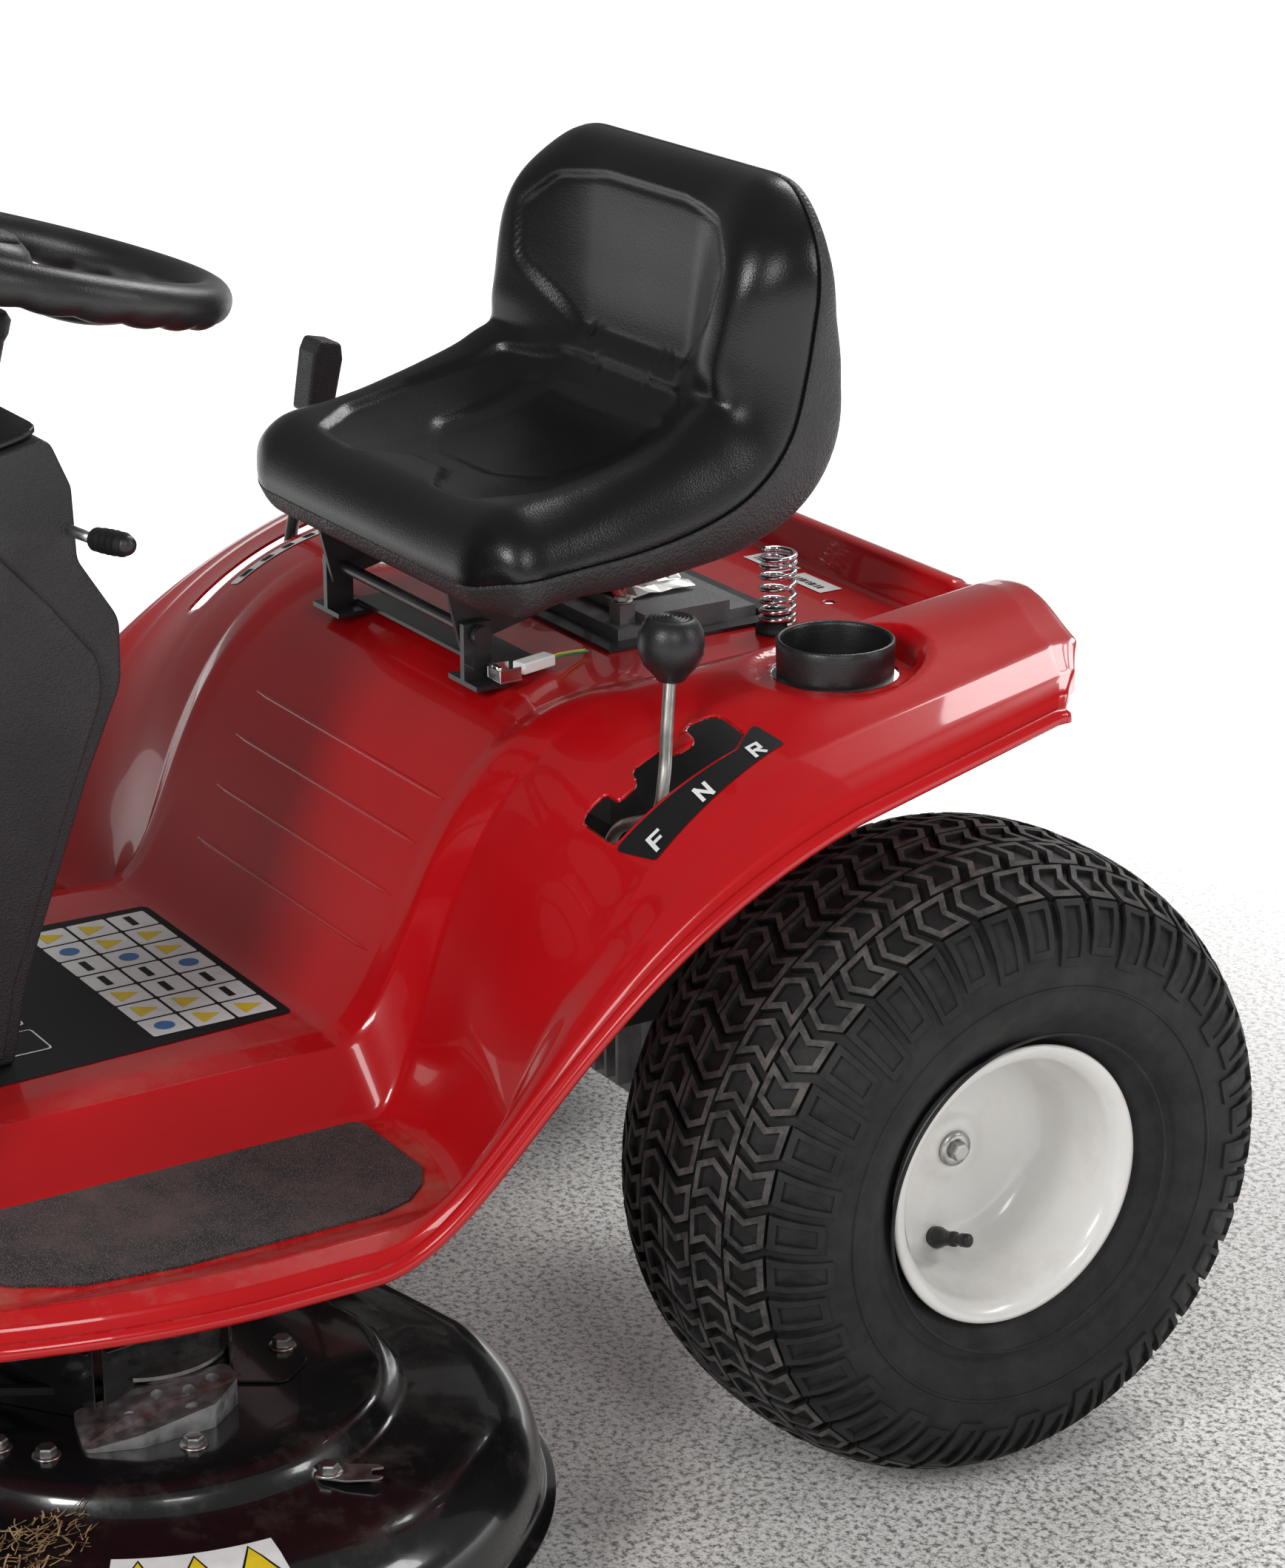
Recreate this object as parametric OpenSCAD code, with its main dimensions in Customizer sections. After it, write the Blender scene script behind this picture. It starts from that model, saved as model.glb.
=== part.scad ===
// Riding lawn mower, an assembly of separate sub-parts.
// Millimetres. X points to the machine's left, Y to the rear, Z up.
// The origin is on the ground under the middle of the machine.

/* [Overall] */
// Distance between the front and rear axles
wheelbase = 1200; // [1180:5:1220]
// Outside diameter of the rear tyres
rear_tire_d = 508; // [500:2:510]
// Width of the rear tyres
rear_tire_w = 247; // [230:1:250]
// Distance between the middles of the rear tyres
rear_track = 770; // [765:1:775]
// Outside diameter of the front tyres
front_tire_d = 381; // [370:1:384]
// Width of the front tyres
front_tire_w = 150; // [140:1:155]
// Distance between the middles of the front tyres
front_track = 760; // [750:1:770]

/* [Body] */
// Thickness of the pressed steel body
sheet = 2.5; // [2:0.5:3]
// Height of the flat footrests
floor_z = 315; // [313:1:317]
// Height of the tunnel between the footrests
tunnel_z = 368; // [367:1:370]
// Height of the deck under the seat
deck_z = 596; // [594:1:597]

/* [Seat] */
// Width of the seat
seat_w = 430; // [410:2:440]
// Angle by which the unloaded seat stands up off its springs
seat_tip = 13.7; // [12:0.1:15]

/* [Steering] */
// Diameter of the steering wheel over its rim
steering_wheel_d = 376; // [350:2:380]
// Height of the steering wheel above the ground
steering_wheel_z = 945; // [940:1:950]
// Lean of the steering column
column_lean = 15; // [14.5:0.1:15.5]

/* [Mower deck] */
// Height of the deck's lower edge at rest
deck_edge_z = 60; // [50:1:70]
// Length of each blade
blade_l = 470; // [440:2:472]

/* [Hidden] */
$fn = 64;
gap = 0.3;          // clearance between neighbours on different bodies
fit = 0.1;          // diametral clearance of a running fit
tiny = 0.01;
axle_y = wheelbase / 2;
front_y = -wheelbase / 2;
rear_r = rear_tire_d / 2;
front_r = front_tire_d / 2;
rear_x = rear_track / 2;
front_x = front_track / 2;
axle_d = 19;
rear_rim_r = 101.6;
front_rim_r = 76.2;
rim_t = 3;
rim_flange = 14;
rail_in = 150;
rail_out = 180;
rail_bottom = 310;
rail_top = 360;
rail_t = 4;
kingpin_x = 284;
kingpin_d = 20;
pivot_z = 250;
steer_arm = 110;
tie_z = 203;
link_z = 275.5;
drag_arm = 80;
sector_x = 100;
sector_y = -300;
column_y = 10;
shaft_d = 18;
shaft_bottom = 680;
pinion_r = 24;
sector_z = 292;
sector_t = 8;
pinion_at = [0, column_y - (steering_wheel_z - sector_z - sector_t / 2) * tan(column_lean)];
seat_y = 350;
seat_z = 632;
pan_z = 40;
cup_at = [290, 560];
spring_at = [135, 612];
shift_pivot = [235, 380, 420];
lift_pivot = [-235, 380, 400];
crank_at = [0, -450];
deck_top = deck_edge_z + 90;
left_c = [241, -10];
right_c = [-235, -80];
left_r = 290;
right_r = 262;
lip = 10;
deflector_hinge = [-508, 0, 140];
hood_hinge = [0, -790, 385];
pedal_pivot = [0, -362, 338];
belt_z = deck_top + 32;

// ---------- shared shapes ----------

// A box given by its lowest and highest corners
module block(lo, hi) {
    translate(lo) cube(hi - lo);
}

// A round bar between two heights on the Z axis
module bar(d, z0, z1) {
    translate([0, 0, z0]) cylinder(d = d, h = z1 - z0);
}

// A tube between two heights on the Z axis
module tube(d_out, d_in, z0, z1) {
    difference() {
        bar(d_out, z0, z1);
        bar(d_in, z0 - 1, z1 + 1);
    }
}

// Turns a shape made along +Z so that it lies along +X
module along_x() {
    rotate([0, 90, 0]) children();
}

// Turns a shape made along +Z so that it lies along +Y
module along_y() {
    rotate([-90, 0, 0]) children();
}

// A rod from one point to another
module rod(a, b, d) {
    v = b - a;
    len = norm(v);
    translate(a)
        rotate([0, acos(v[2] / len), atan2(v[1], v[0])])
            cylinder(d = d, h = len);
}

// A rod through several points, with a ball at each bend
module bent_rod(points, d) {
    for (i = [0 : len(points) - 2]) rod(points[i], points[i + 1], d);
    if (len(points) > 2)
        for (i = [1 : len(points) - 2]) translate(points[i]) sphere(d = d * 1.08, $fn = 32);
}

// A hexagon head with its washer face at z = 0
module hex_head(across_flats, h) {
    cylinder(d = across_flats / cos(30), h = h, $fn = 6);
}

// An outline with round corners of radius r
module rounded(lo, hi, r) {
    for (x = [lo[0] + r, hi[0] - r], y = [lo[1] + r, hi[1] - r]) translate([x, y]) circle(r = r);
    translate([lo[0] + r, lo[1]]) square([hi[0] - lo[0] - 2 * r, hi[1] - lo[1]]);
    translate([lo[0], lo[1] + r]) square([hi[0] - lo[0], hi[1] - lo[1] - 2 * r]);
}

// ---------- wheels ----------

function signed_power(v, p) = sign(v) * pow(abs(v), p);

// Cross-section loop of a tyre: a squared-off oval between two radii
function oval(r_in, r_out, w, squareness) = [for (a = [0 : 7.5 : 352.5])
    [(r_in + r_out) / 2 + (r_out - r_in) / 2 * signed_power(sin(a), 2 / squareness),
     w / 2 * signed_power(cos(a), 2 / squareness)]];

// A hollow tyre around the X axis, with beads that meet the rim
module tire(r_out, r_rim, w, rim_half) {
    wall = 11;
    along_x() rotate_extrude($fn = 96) {
        difference() {
            polygon(oval(r_rim - 4, r_out, w, 2.6));
            polygon(oval(r_rim + 2, r_out - wall - 3, w - 2 * wall, 2.4));
            translate([0, -w]) square([r_rim + gap, 2 * w]);
            translate([0, 12 - rim_half]) square([r_rim + 26, 2 * (rim_half - 12)]);
            // room for the rim's flanges
            for (s = [-1, 1]) translate([0, s > 0 ? rim_half - gap : -rim_half - w])
                square([r_rim + rim_flange - rim_t + gap, w + gap]);
        }
        for (s = [-1, 1])
            translate([r_rim + gap, s * (rim_half - 7) - 6.5]) square([24, 13]);
    }
}

// A pressed rim around the X axis, with a deep dish on its +X side
module rim(r_rim, rim_half, bore, hub_d, hub_in, disc_x) {
    along_x() rotate_extrude($fn = 96) {
        translate([r_rim - rim_t, -rim_half]) square([rim_t, 2 * rim_half]);
        for (s = [-1, 1])
            translate([r_rim - rim_t, s * (rim_half + rim_t / 2) - rim_t / 2])
                square([rim_flange, rim_t]);
        polygon([[bore / 2, disc_x - rim_t], [r_rim * 0.55, disc_x - rim_t],
            [r_rim * 0.8, disc_x + 8], [r_rim - 1, disc_x + 8], [r_rim - 1, disc_x + 8 + rim_t],
            [r_rim * 0.78, disc_x + 8 + rim_t], [r_rim * 0.53, disc_x], [bore / 2, disc_x]]);
        translate([bore / 2, hub_in]) square([(hub_d - bore) / 2, disc_x - hub_in]);
    }
}

rear_rim_half = 94;
front_rim_half = 56;
rear_disc_x = 13;
front_disc_x = 10;
hub_top = 32;

module rear_tire(side) {
    color("dimgray") mirror([side < 0 ? 1 : 0, 0, 0]) translate([rear_x, axle_y, rear_r])
        tire(rear_r, rear_rim_r, rear_tire_w, rear_rim_half);
}
module front_tire(side) {
    color("dimgray") mirror([side < 0 ? 1 : 0, 0, 0]) translate([front_x, front_y, front_r])
        tire(front_r, front_rim_r, front_tire_w, front_rim_half);
}
module rear_rim(side) {
    color("whitesmoke") mirror([side < 0 ? 1 : 0, 0, 0]) translate([rear_x, axle_y, rear_r])
        rim(rear_rim_r, rear_rim_half, axle_d + fit, hub_top, -70, rear_disc_x);
}
module front_rim(side) {
    color("whitesmoke") mirror([side < 0 ? 1 : 0, 0, 0]) translate([front_x, front_y, front_r])
        rim(front_rim_r, front_rim_half, axle_d + fit, hub_top, -48, front_disc_x);
}

// Half shaft with the washer and bolt that hold the wheel on
module axle_shaft(side) {
    hub_face = rear_x + rear_disc_x;
    color("silver") mirror([side < 0 ? 1 : 0, 0, 0]) translate([0, axle_y, rear_r]) along_x() {
        bar(axle_d, 118, hub_face);
        bar(26, hub_face, hub_face + 3);
        translate([0, 0, hub_face + 3]) hex_head(14, 9);
    }
}

// ---------- frame ----------

module rail() {
    difference() {
        block([rail_in, -760, rail_bottom], [rail_out, 716, rail_top]);
        block([rail_in - 1, -761, rail_bottom + rail_t],
              [rail_out - rail_t, 717, rail_top - rail_t]);
    }
}

module chassis_frame() {
    color("#1c1c1e") difference() {
        union() {
            rail();
            mirror([1, 0, 0]) rail();
            for (y = [-756, 120, 700])
                block([-rail_out + rail_t, y, rail_bottom + rail_t],
                      [rail_out - rail_t, y + 5, rail_top - rail_t]);
            // engine plate
            block([-rail_out, -650, rail_top], [rail_out, -280, rail_top + 4]);
            // steering plate under the dash
            block([-rail_out, -340, rail_bottom], [rail_out, -130, rail_bottom + rail_t]);
            // stud of the steering sector
            translate([sector_x, sector_y, 0]) {
                bar(14, sector_z - 2, rail_bottom + 1);
                translate([0, 0, sector_z - 8]) hex_head(21, 6.5);
            }
            // brackets of the front axle, with the pivot pin between them
            for (y = [-637, -568])
                block([-45, y, 222], [45, y + 5, rail_bottom + 1]);
            for (y = [-637, -568])
                block([-rail_out, y, rail_bottom], [rail_out, y + 5, rail_bottom + 30]);
            translate([0, -642, pivot_z]) along_y() bar(16, 0, 84);
            // bushing of the pedal shaft
            translate([0, pedal_pivot[1], pedal_pivot[2]]) along_x()
                bar(26, rail_out - rail_t, rail_out + 22);
            // side plates that carry the body, ahead of the rear wheels
            for (s = [-1, 1])
                block([s * 214 - 2, 130, 215], [s * 214 + 2, 262, rail_bottom + 2]);
            block([-216, 180, rail_bottom - 2], [216, 230, rail_bottom + 2]);
        }
        // hole for the crankshaft
        translate([crank_at[0], crank_at[1], 0]) bar(50, 300, 400);
        // hole for the steering shaft
        translate([0, column_y, steering_wheel_z]) rotate([-column_lean, 0, 0])
            bar(30, -720, -600);
        translate([0, pedal_pivot[1], pedal_pivot[2]]) along_x()
            bar(16 + fit, rail_in, rail_out + 30);
    }
}

module hitch_plate() {
    color("#1c1c1e") difference() {
        union() {
            block([-140, 721, 262], [140, 726, 372]);
            block([-60, 721, 262], [60, 800, 267]);
        }
        translate([0, 772, 0]) bar(12.7, 250, 280);
        for (x = [-100, 100]) translate([x, 715, 335]) along_y() bar(11, 0, 20);
    }
}

module transaxle() {
    case_top = 304;
    color("#8a8d90") difference() {
        union() {
            block([-92, 512, 196], [92, 690, case_top]);
            translate([0, axle_y, rear_r]) along_x() bar(104, -112, 112);
            translate([0, axle_y, rear_r]) along_x() bar(46, -262, 262);
            for (x = [-72 : 18 : 72]) block([x - 2, 500, 206], [x + 2, 700, 296]);
            for (s = [-1, 1]) block([s * 165 - 14, 575, rear_r], [s * 165 + 14, 625, rail_bottom - 0.5]);
        }
        translate([0, axle_y, rear_r]) along_x() bar(axle_d + fit, -270, 270);
        translate([0, axle_y, rear_r]) along_x() bar(60, -117, 117);
    }
}

// ---------- body ----------

// One rail of the body at a distance x from the middle: floor height, the start, two
// handles and the end of its rise, the rear end, and the height of the rear wall
function body_rail(i) = [
    [0, tunnel_z, 170, 235, 240, 585, 400, deck_z, 735, deck_z, 32],
    [90, tunnel_z, 170, 235, 240, 585, 400, deck_z, 735, deck_z, 32],
    [180, tunnel_z, 170, 235, 240, 585, 400, deck_z, 735, deck_z, 32],
    [205, tunnel_z - 5, 173, 236, 234, 587, 405, deck_z + 7, 736, deck_z + 26, 6],
    [235, floor_z, 183, 240, 226, 574, 412, deck_z + 10, 733, 642, 0],
    [300, floor_z, 186, 245, 215, 555, 430, deck_z + 6, 714, 652, 0],
    [390, floor_z, 160, 225, 222, 522, 455, 592, 686, 641, 0],
    [425, floor_z + 12, 100, 190, 229, 512, 468, 587, 672, 634, 0],
    [446, floor_z + 4, 76, 173, 230, 501, 470, 578, 664, 622, 0],
    [452, 297, 70, 170, 230, 480, 470, 556, 660, 602, 0]][i];
body_rails = 10;
body_front = -340;

function mix(a, b, t) = a + (b - a) * t;
// Catmull-Rom blend of four values
function blend4(a, b, c, d, t) =
    b + t / 2 * (c - a + t * (2 * a - 5 * b + 4 * c - d + t * (3 * (b - c) + d - a)));
function rail_between(i, t) = [for (k = [0 : 10])
    k == 1 || k == 10 ? mix(body_rail(i)[k], body_rail(i + 1)[k], t)
    : k == 0 ? mix(body_rail(i)[0], body_rail(i + 1)[0], t)
    : blend4(body_rail(max(i - 1, 0))[k], body_rail(i)[k], body_rail(i + 1)[k],
        body_rail(min(i + 2, body_rails - 1))[k], t)];
function bezier(p, q, r, s, t) = p * pow(1 - t, 3) + q * 3 * t * pow(1 - t, 2)
    + r * 3 * t * t * (1 - t) + s * pow(t, 3);
// The footrests narrow towards the front
function narrowed(x, y) = x <= 235 || y >= 0 ? x
    : 235 + (x - 235) * (1 - 0.5 * pow(-y / 350, 1.8));
// Points along one rail, from front to rear
function along(r) = concat(
    [for (f = [0, 0.3, 0.55, 0.8]) [mix(body_front, r[2], f), r[1]]],
    [for (k = [0 : 12]) bezier([r[2], r[1]], [r[3], r[1]], [r[4], r[5]], [r[6], r[7]], k / 12)],
    [for (f = [0.2, 0.45, 0.7, 0.9, 1]) [mix(r[6], r[8], f), mix(r[7], r[9], f)]],
    [[r[8] + 7, r[9] + r[10] * 0.7], [r[8] + 12, r[9] + r[10]], [r[8] + 22, r[9] + r[10]],
     [r[8] + 27, r[9] + r[10] - 5], [r[8] + 28, r[9] + r[10] - 34]]);
body_half = [for (i = [0 : body_rails - 2], t = i < 2 ? [0] : [0, 0.5]) rail_between(i, t)];
body_all = concat(body_half, [body_rail(body_rails - 1)]);
body_last = len(body_all) - 1;
body_grid = [for (j = [-body_last : body_last])
    let (r = body_all[abs(j)], s = j < 0 ? -1 : 1)
    [for (p = along(r)) [s * narrowed(r[0], p[0]), p[0], p[1]]]];
body_cols = 2 * body_last + 1;
body_rows = len(body_grid[0]);
function at(g, j, k) = g[max(0, min(body_cols - 1, j))][max(0, min(body_rows - 1, k))];
function unit(v) = v / max(norm(v), tiny);
body_inner = [for (j = [0 : body_cols - 1]) [for (k = [0 : body_rows - 1])
    body_grid[j][k] - sheet * unit(cross(at(body_grid, j + 1, k) - at(body_grid, j - 1, k),
        at(body_grid, j, k + 1) - at(body_grid, j, k - 1)))]];

// A closed thin shell between two grids of points
module shell(top, under, cols, rows) {
    n = cols * rows;
    points = concat([for (c = top, p = c) p], [for (c = under, p = c) p]);
    faces = concat(
        [for (j = [0 : cols - 2], k = [0 : rows - 2], h = [0, 1])
            let (a = j * rows + k, b = a + rows, c = b + 1, d = a + 1)
            h == 0 ? [a, b, c] : [a, c, d]],
        [for (j = [0 : cols - 2], k = [0 : rows - 2], h = [0, 1])
            let (a = n + j * rows + k, b = a + rows, c = b + 1, d = a + 1)
            h == 0 ? [a, c, b] : [a, d, c]],
        [for (j = [0 : cols - 2], e = [0, rows - 1], h = [0, 1])
            let (a = j * rows + e, b = a + rows, s = e == 0)
            h == 0 ? (s ? [a, a + n, b + n] : [a, b + n, a + n])
                   : (s ? [a, b + n, b] : [a, b, b + n])],
        [for (k = [0 : rows - 2], e = [0, cols - 1], h = [0, 1])
            let (a = e * rows + k, b = a + 1, s = e == 0)
            h == 0 ? (s ? [a, b + n, a + n] : [a, a + n, b + n])
                   : (s ? [a, b, b + n] : [a, b + n, b])]);
    polyhedron(points, [for (f = faces) [f[0], f[2], f[1]]]);
}

module fender_body() {
    color("firebrick") difference() {
        shell(body_grid, body_inner, body_cols, body_rows);
        // opening over the battery
        block([-109, 471, 560], [109, 639, 640]);
        // hole for the cup holder
        translate([cup_at[0], cup_at[1], 0]) bar(92, 550, 700);
        // slot of the shift lever
        linear_extrude(700) rounded([313, 330], [349, 432], 12);
        // slot of the lift lever
        linear_extrude(700) rounded([-344, 322], [-316, 470], 12);
        // holes in the rear of the deck
        for (x = [-90, 90]) translate([x, 693, 0]) bar(8, 560, 640);
        // hole for the steering shaft
        translate([0, -145, 0]) bar(60, 340, 400);
        // drain holes of the footrests
        for (x = [-231, 231]) translate([x, 110, 0]) bar(6, 300, 330);
    }
}

module pad_outline() {
    polygon([[238, 168], [244, 174], [334, 174], [358, 160], [376, 140], [384, 116], [384, -40],
        [374, -110], [352, -150], [318, -180], [244, -180], [238, -174]]);
}

module footrest_pads() {
    color("#2a2a2c") for (s = [0, 1]) mirror([s, 0, 0])
        translate([0, 0, floor_z + 0.2]) linear_extrude(2) pad_outline();
}

module cup_holder() {
    color("#17181a") translate([cup_at[0], cup_at[1], 0]) difference() {
        union() {
            tube(91, 79, 600, 641);
            tube(84, 78, 566, 601);
            bar(84, 563, 567);
        }
        block([-12, -4, 560], [12, 4, 570]);
    }
}

module battery_tray() {
    color("#17181a") difference() {
        union() {
            block([-106, 474, 450], [106, 636, deck_z + 1]);
            block([-114, 468, deck_z + 0.4], [114, 642, deck_z + 3]);
        }
        block([-98, 482, 454], [98, 628, 620]);
    }
}

module battery() {
    color("gainsboro") {
        block([-92, 490, 454.2], [92, 620, 606]);
        block([-92, 515, 606], [92, 595, 614]);
        for (x = [-74, 74]) block([x - 8, 498, 606], [x + 8, 512, 622]);
    }
}

// Points of the two battery leads, from the terminals down the side of the box
red_lead = [[74, 505, 626], [60, 500, 640], [30, 505, 646], [0, 515, 640], [-20, 530, 630],
    [-40, 545, 622], [-60, 560, 619]];
black_lead = [[-74, 505, 626], [-80, 520, 636], [-82, 545, 640], [-84, 570, 632],
    [-86, 590, 622], [-88, 608, 612]];

// A round tube swept along points, as one closed solid
function frame_at(p, i) = unit(p[min(i + 1, len(p) - 1)] - p[max(i - 1, 0)]);
module sweep(p, d, sides) {
    n = len(p);
    rings = [for (i = [0 : n - 1])
        let (t = frame_at(p, i), u = unit(cross(t, [0, 0, 1])), v = cross(t, u))
        [for (k = [0 : sides - 1]) p[i] + d / 2 * (u * cos(360 * k / sides)
            + v * sin(360 * k / sides))]];
    pts = [for (r = rings, q = r) q];
    faces = concat([[for (k = [0 : sides - 1]) k]],
        [[for (k = [sides - 1 : -1 : 0]) (n - 1) * sides + k]],
        [for (i = [0 : n - 2], k = [0 : sides - 1], h = [0, 1])
            let (a = i * sides + k, b = i * sides + (k + 1) % sides)
            h == 0 ? [a, a + sides, b + sides] : [a, b + sides, b]]);
    polyhedron(pts, faces);
}

module battery_cables() {
    color("red") sweep(red_lead, 7, 8);
    color("black") sweep(black_lead, 6, 8);
}

// Closed coil springs that stand on rubber pads
spring_wire = 4.4;
spring_r = 13.3;
spring_turns = 6.5;
spring_h = 58;
module seat_spring() {
    steps = 12;
    n = spring_turns * steps;
    base = deck_z + 6 + spring_wire / 2;
    path = [for (i = [0 : n]) [spring_r * cos(360 * i / steps), spring_r * sin(360 * i / steps),
        base + 0.6 + spring_h * i / n]];
    sweep(path, spring_wire, 8);
}
module seat_springs() {
    for (s = [-1, 1]) translate([s * spring_at[0], spring_at[1], 0]) {
        color("silver") seat_spring();
        color("#17181a") bar(34, deck_z + 0.4, deck_z + 6);
    }
}

// ---------- seat ----------

module at_seat() {
    translate([0, seat_y, seat_z]) rotate([seat_tip, 0, 0]) children();
}

// Feet on the front of the deck, with the pivot pin between their uprights
module seat_bracket() {
    foot_z = deck_z - 3.6;
    foot_x = 112;
    color("#17181a") {
        for (s = [-1, 1]) {
            block([s * foot_x - 22, 338, foot_z], [s * foot_x + 22, 366, foot_z + 4]);
            block([s * foot_x - 3, 338, foot_z], [s * foot_x + 3, 362, seat_z + 9]);
            block([s * foot_x - 3, 355, deck_z + 1], [s * foot_x + 3, 410, deck_z + 4]);
            translate([s * (foot_x + 9), seat_y, seat_z]) along_x() bar(16, -3, 3);
        }
        block([-foot_x - 3, 366, deck_z + 1], [foot_x + 3, 410, deck_z + 4]);
        translate([0, seat_y, seat_z]) along_x() bar(10, -124, 124);
    }
}

module seat_switch() {
    color("silver") block([124, 352, deck_z + 3], [146, 372, deck_z + 12]);
    color("white") {
        block([126, 372.2, deck_z + 3], [143, 380, deck_z + 14]);
        translate([135, 381, deck_z + 9]) rotate([0, 0, 14]) block([-6, 0, -4], [6, 38, 4]);
    }
}

module seat_pan() {
    pan_t = 3;
    color("#17181a") at_seat() difference() {
        union() {
            translate([0, 0, pan_z]) linear_extrude(pan_t) {
                rounded([-104, -12], [104, 262], 16);
                rounded([-158, 236], [158, 286], 14);
            }
            for (s = [-1, 1]) block([s * 104 - 2, -12, -10], [s * 104 + 2, 60, pan_z + 1]);
            for (s = [-1, 1]) block([s * 60 - 2, 60, 22], [s * 60 + 2, 250, pan_z + 1]);
        }
        along_x() bar(10 + fit, -120, 120);
        for (x = [-60, 60], y = [60, 200]) translate([x * 0.6, y, 0]) bar(8, 30, 50);
    }
}

shell_z = pan_z + 7;

// Side outline of the black plastic pan that carries the cushion
module shell_side() {
    polygon([[-14, shell_z], [258, shell_z], [272, shell_z + 12], [318, 232], [318, 250],
        [306, 256], [292, 252], [240, shell_z + 22], [-22, shell_z + 22], [-24, shell_z + 8]]);
}
// Plan outline of the seat
module seat_plan(w, front, rear) {
    rounded([-w / 2, front], [w / 2, rear], 62);
}
module seat_shell() {
    color("#202123") at_seat() {
        intersection() {
            rotate([90, 0, 90]) translate([0, 0, -seat_w / 2]) linear_extrude(seat_w)
                shell_side();
            linear_extrude(300) seat_plan(seat_w, -26, 360);
            translate([0, 400, 0]) rotate([90, 0, 0]) linear_extrude(500)
                rounded([-seat_w / 2, -60], [seat_w / 2, 258], 84);
        }
        for (x = [-36, 36], y = [60, 200]) translate([x, y, 0]) bar(14, pan_z + 3, shell_z + 1);
    }
}

// Side outline of the padded cushion and backrest
module cushion_side() {
    z0 = shell_z + 22.4;
    polygon([[-24, z0], [-31, z0 + 14], [-28, z0 + 30], [-10, z0 + 40], [120, z0 + 36],
        [222, z0 + 44], [248, z0 + 62], [292, 262], [306, 268], [322, 264], [327, 250], [327, 236],
        [318.6, 236], [318.6, 250.6], [306.2, 256.8], [291.4, 252.7], [239.5, z0]]);
}
module seat_cushion() {
    color("#0e0e10") at_seat() intersection() {
        rotate([90, 0, 90]) translate([0, 0, -seat_w / 2]) linear_extrude(seat_w)
            cushion_side();
        linear_extrude(300) seat_plan(seat_w, -32, 360);
        translate([0, 400, 0]) rotate([90, 0, 0]) linear_extrude(500)
            rounded([-seat_w / 2, -60], [seat_w / 2, 269], 90);
    }
}

// ---------- dash and steering ----------

module dash_side(inset) {
    polygon([[-150 + inset, tunnel_z + 0.3 - 2 * inset], [-30 - inset, tunnel_z + 0.3 - 2 * inset],
        [-15 - inset, 433], [45 - inset, 581], [72 - inset, 635], [80 - inset, 668],
        [74 - inset, 705 - inset / 2], [52 - inset, 752 - inset / 2], [38 - inset, 806 - inset],
        [18, 838 - inset], [-150 + inset, 800 - inset]]);
}
module dash_pedestal() {
    color("#1d1e20") difference() {
        rotate([90, 0, 90]) translate([0, 0, -125]) linear_extrude(250) dash_side(0);
        rotate([90, 0, 90]) translate([0, 0, -121]) linear_extrude(242) dash_side(4);
        translate([0, column_y, steering_wheel_z]) rotate([-column_lean, 0, 0])
            bar(64, -160, -60);
        // way out for the steering shaft, low in the front wall
        at_column() bar(30, -640, -530);
        at_dash_top() translate([-72, 52, -10]) bar(17, 0, 20);
        // slot of the brake lock lever
        block([110, -10, 745], [130, 44, 786]);
    }
}

module at_dash_top() {
    translate([0, -150, 800]) rotate([atan((838 - 800) / 168), 0, 0]) children();
}
module dash_panel() {
    color("#2b2c2f") difference() {
        at_dash_top() translate([0, 0, 0.3]) linear_extrude(5) rounded([-112, 6], [112, 160], 14);
        translate([0, column_y, steering_wheel_z]) rotate([-column_lean, 0, 0])
            bar(64, -160, -60);
        at_dash_top() translate([-72, 52, -5]) bar(14 + 2 * fit, 0, 20);
    }
}

module at_column() {
    translate([0, column_y, steering_wheel_z]) rotate([-column_lean, 0, 0]) children();
}
module steering_column() {
    color("#1d1e20") at_column() {
        tube(62, 30, -150, -38);
        tube(30.2, shaft_d + fit, -430, -60);
    }
}
module steering_shaft() {
    color("silver") at_column() {
        bar(shaft_d, -shaft_bottom, 8);
        difference() {
            bar(2 * pinion_r, -shaft_bottom, -shaft_bottom + 12);
            for (a = [0 : 36 : 324]) rotate([0, 0, a]) translate([pinion_r, 0, 0])
                bar(5, -shaft_bottom - 1, -shaft_bottom + 13);
        }
    }
}
module steering_wheel() {
    grip = 32;
    ring_r = (steering_wheel_d - grip) / 2;
    color("#141416") at_column() {
        rotate_extrude($fn = 96) translate([ring_r, 0]) circle(d = grip);
        difference() {
            union() {
                bar(84, -30, 6);
                bar(64, 6, 14);
                for (a = [30, 150, 270]) rotate([0, 0, a])
                    block([30, -17, -24], [ring_r - 8, 17, -10]);
            }
            bar(shaft_d + fit, -40, 8.2);
        }
    }
}

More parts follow.
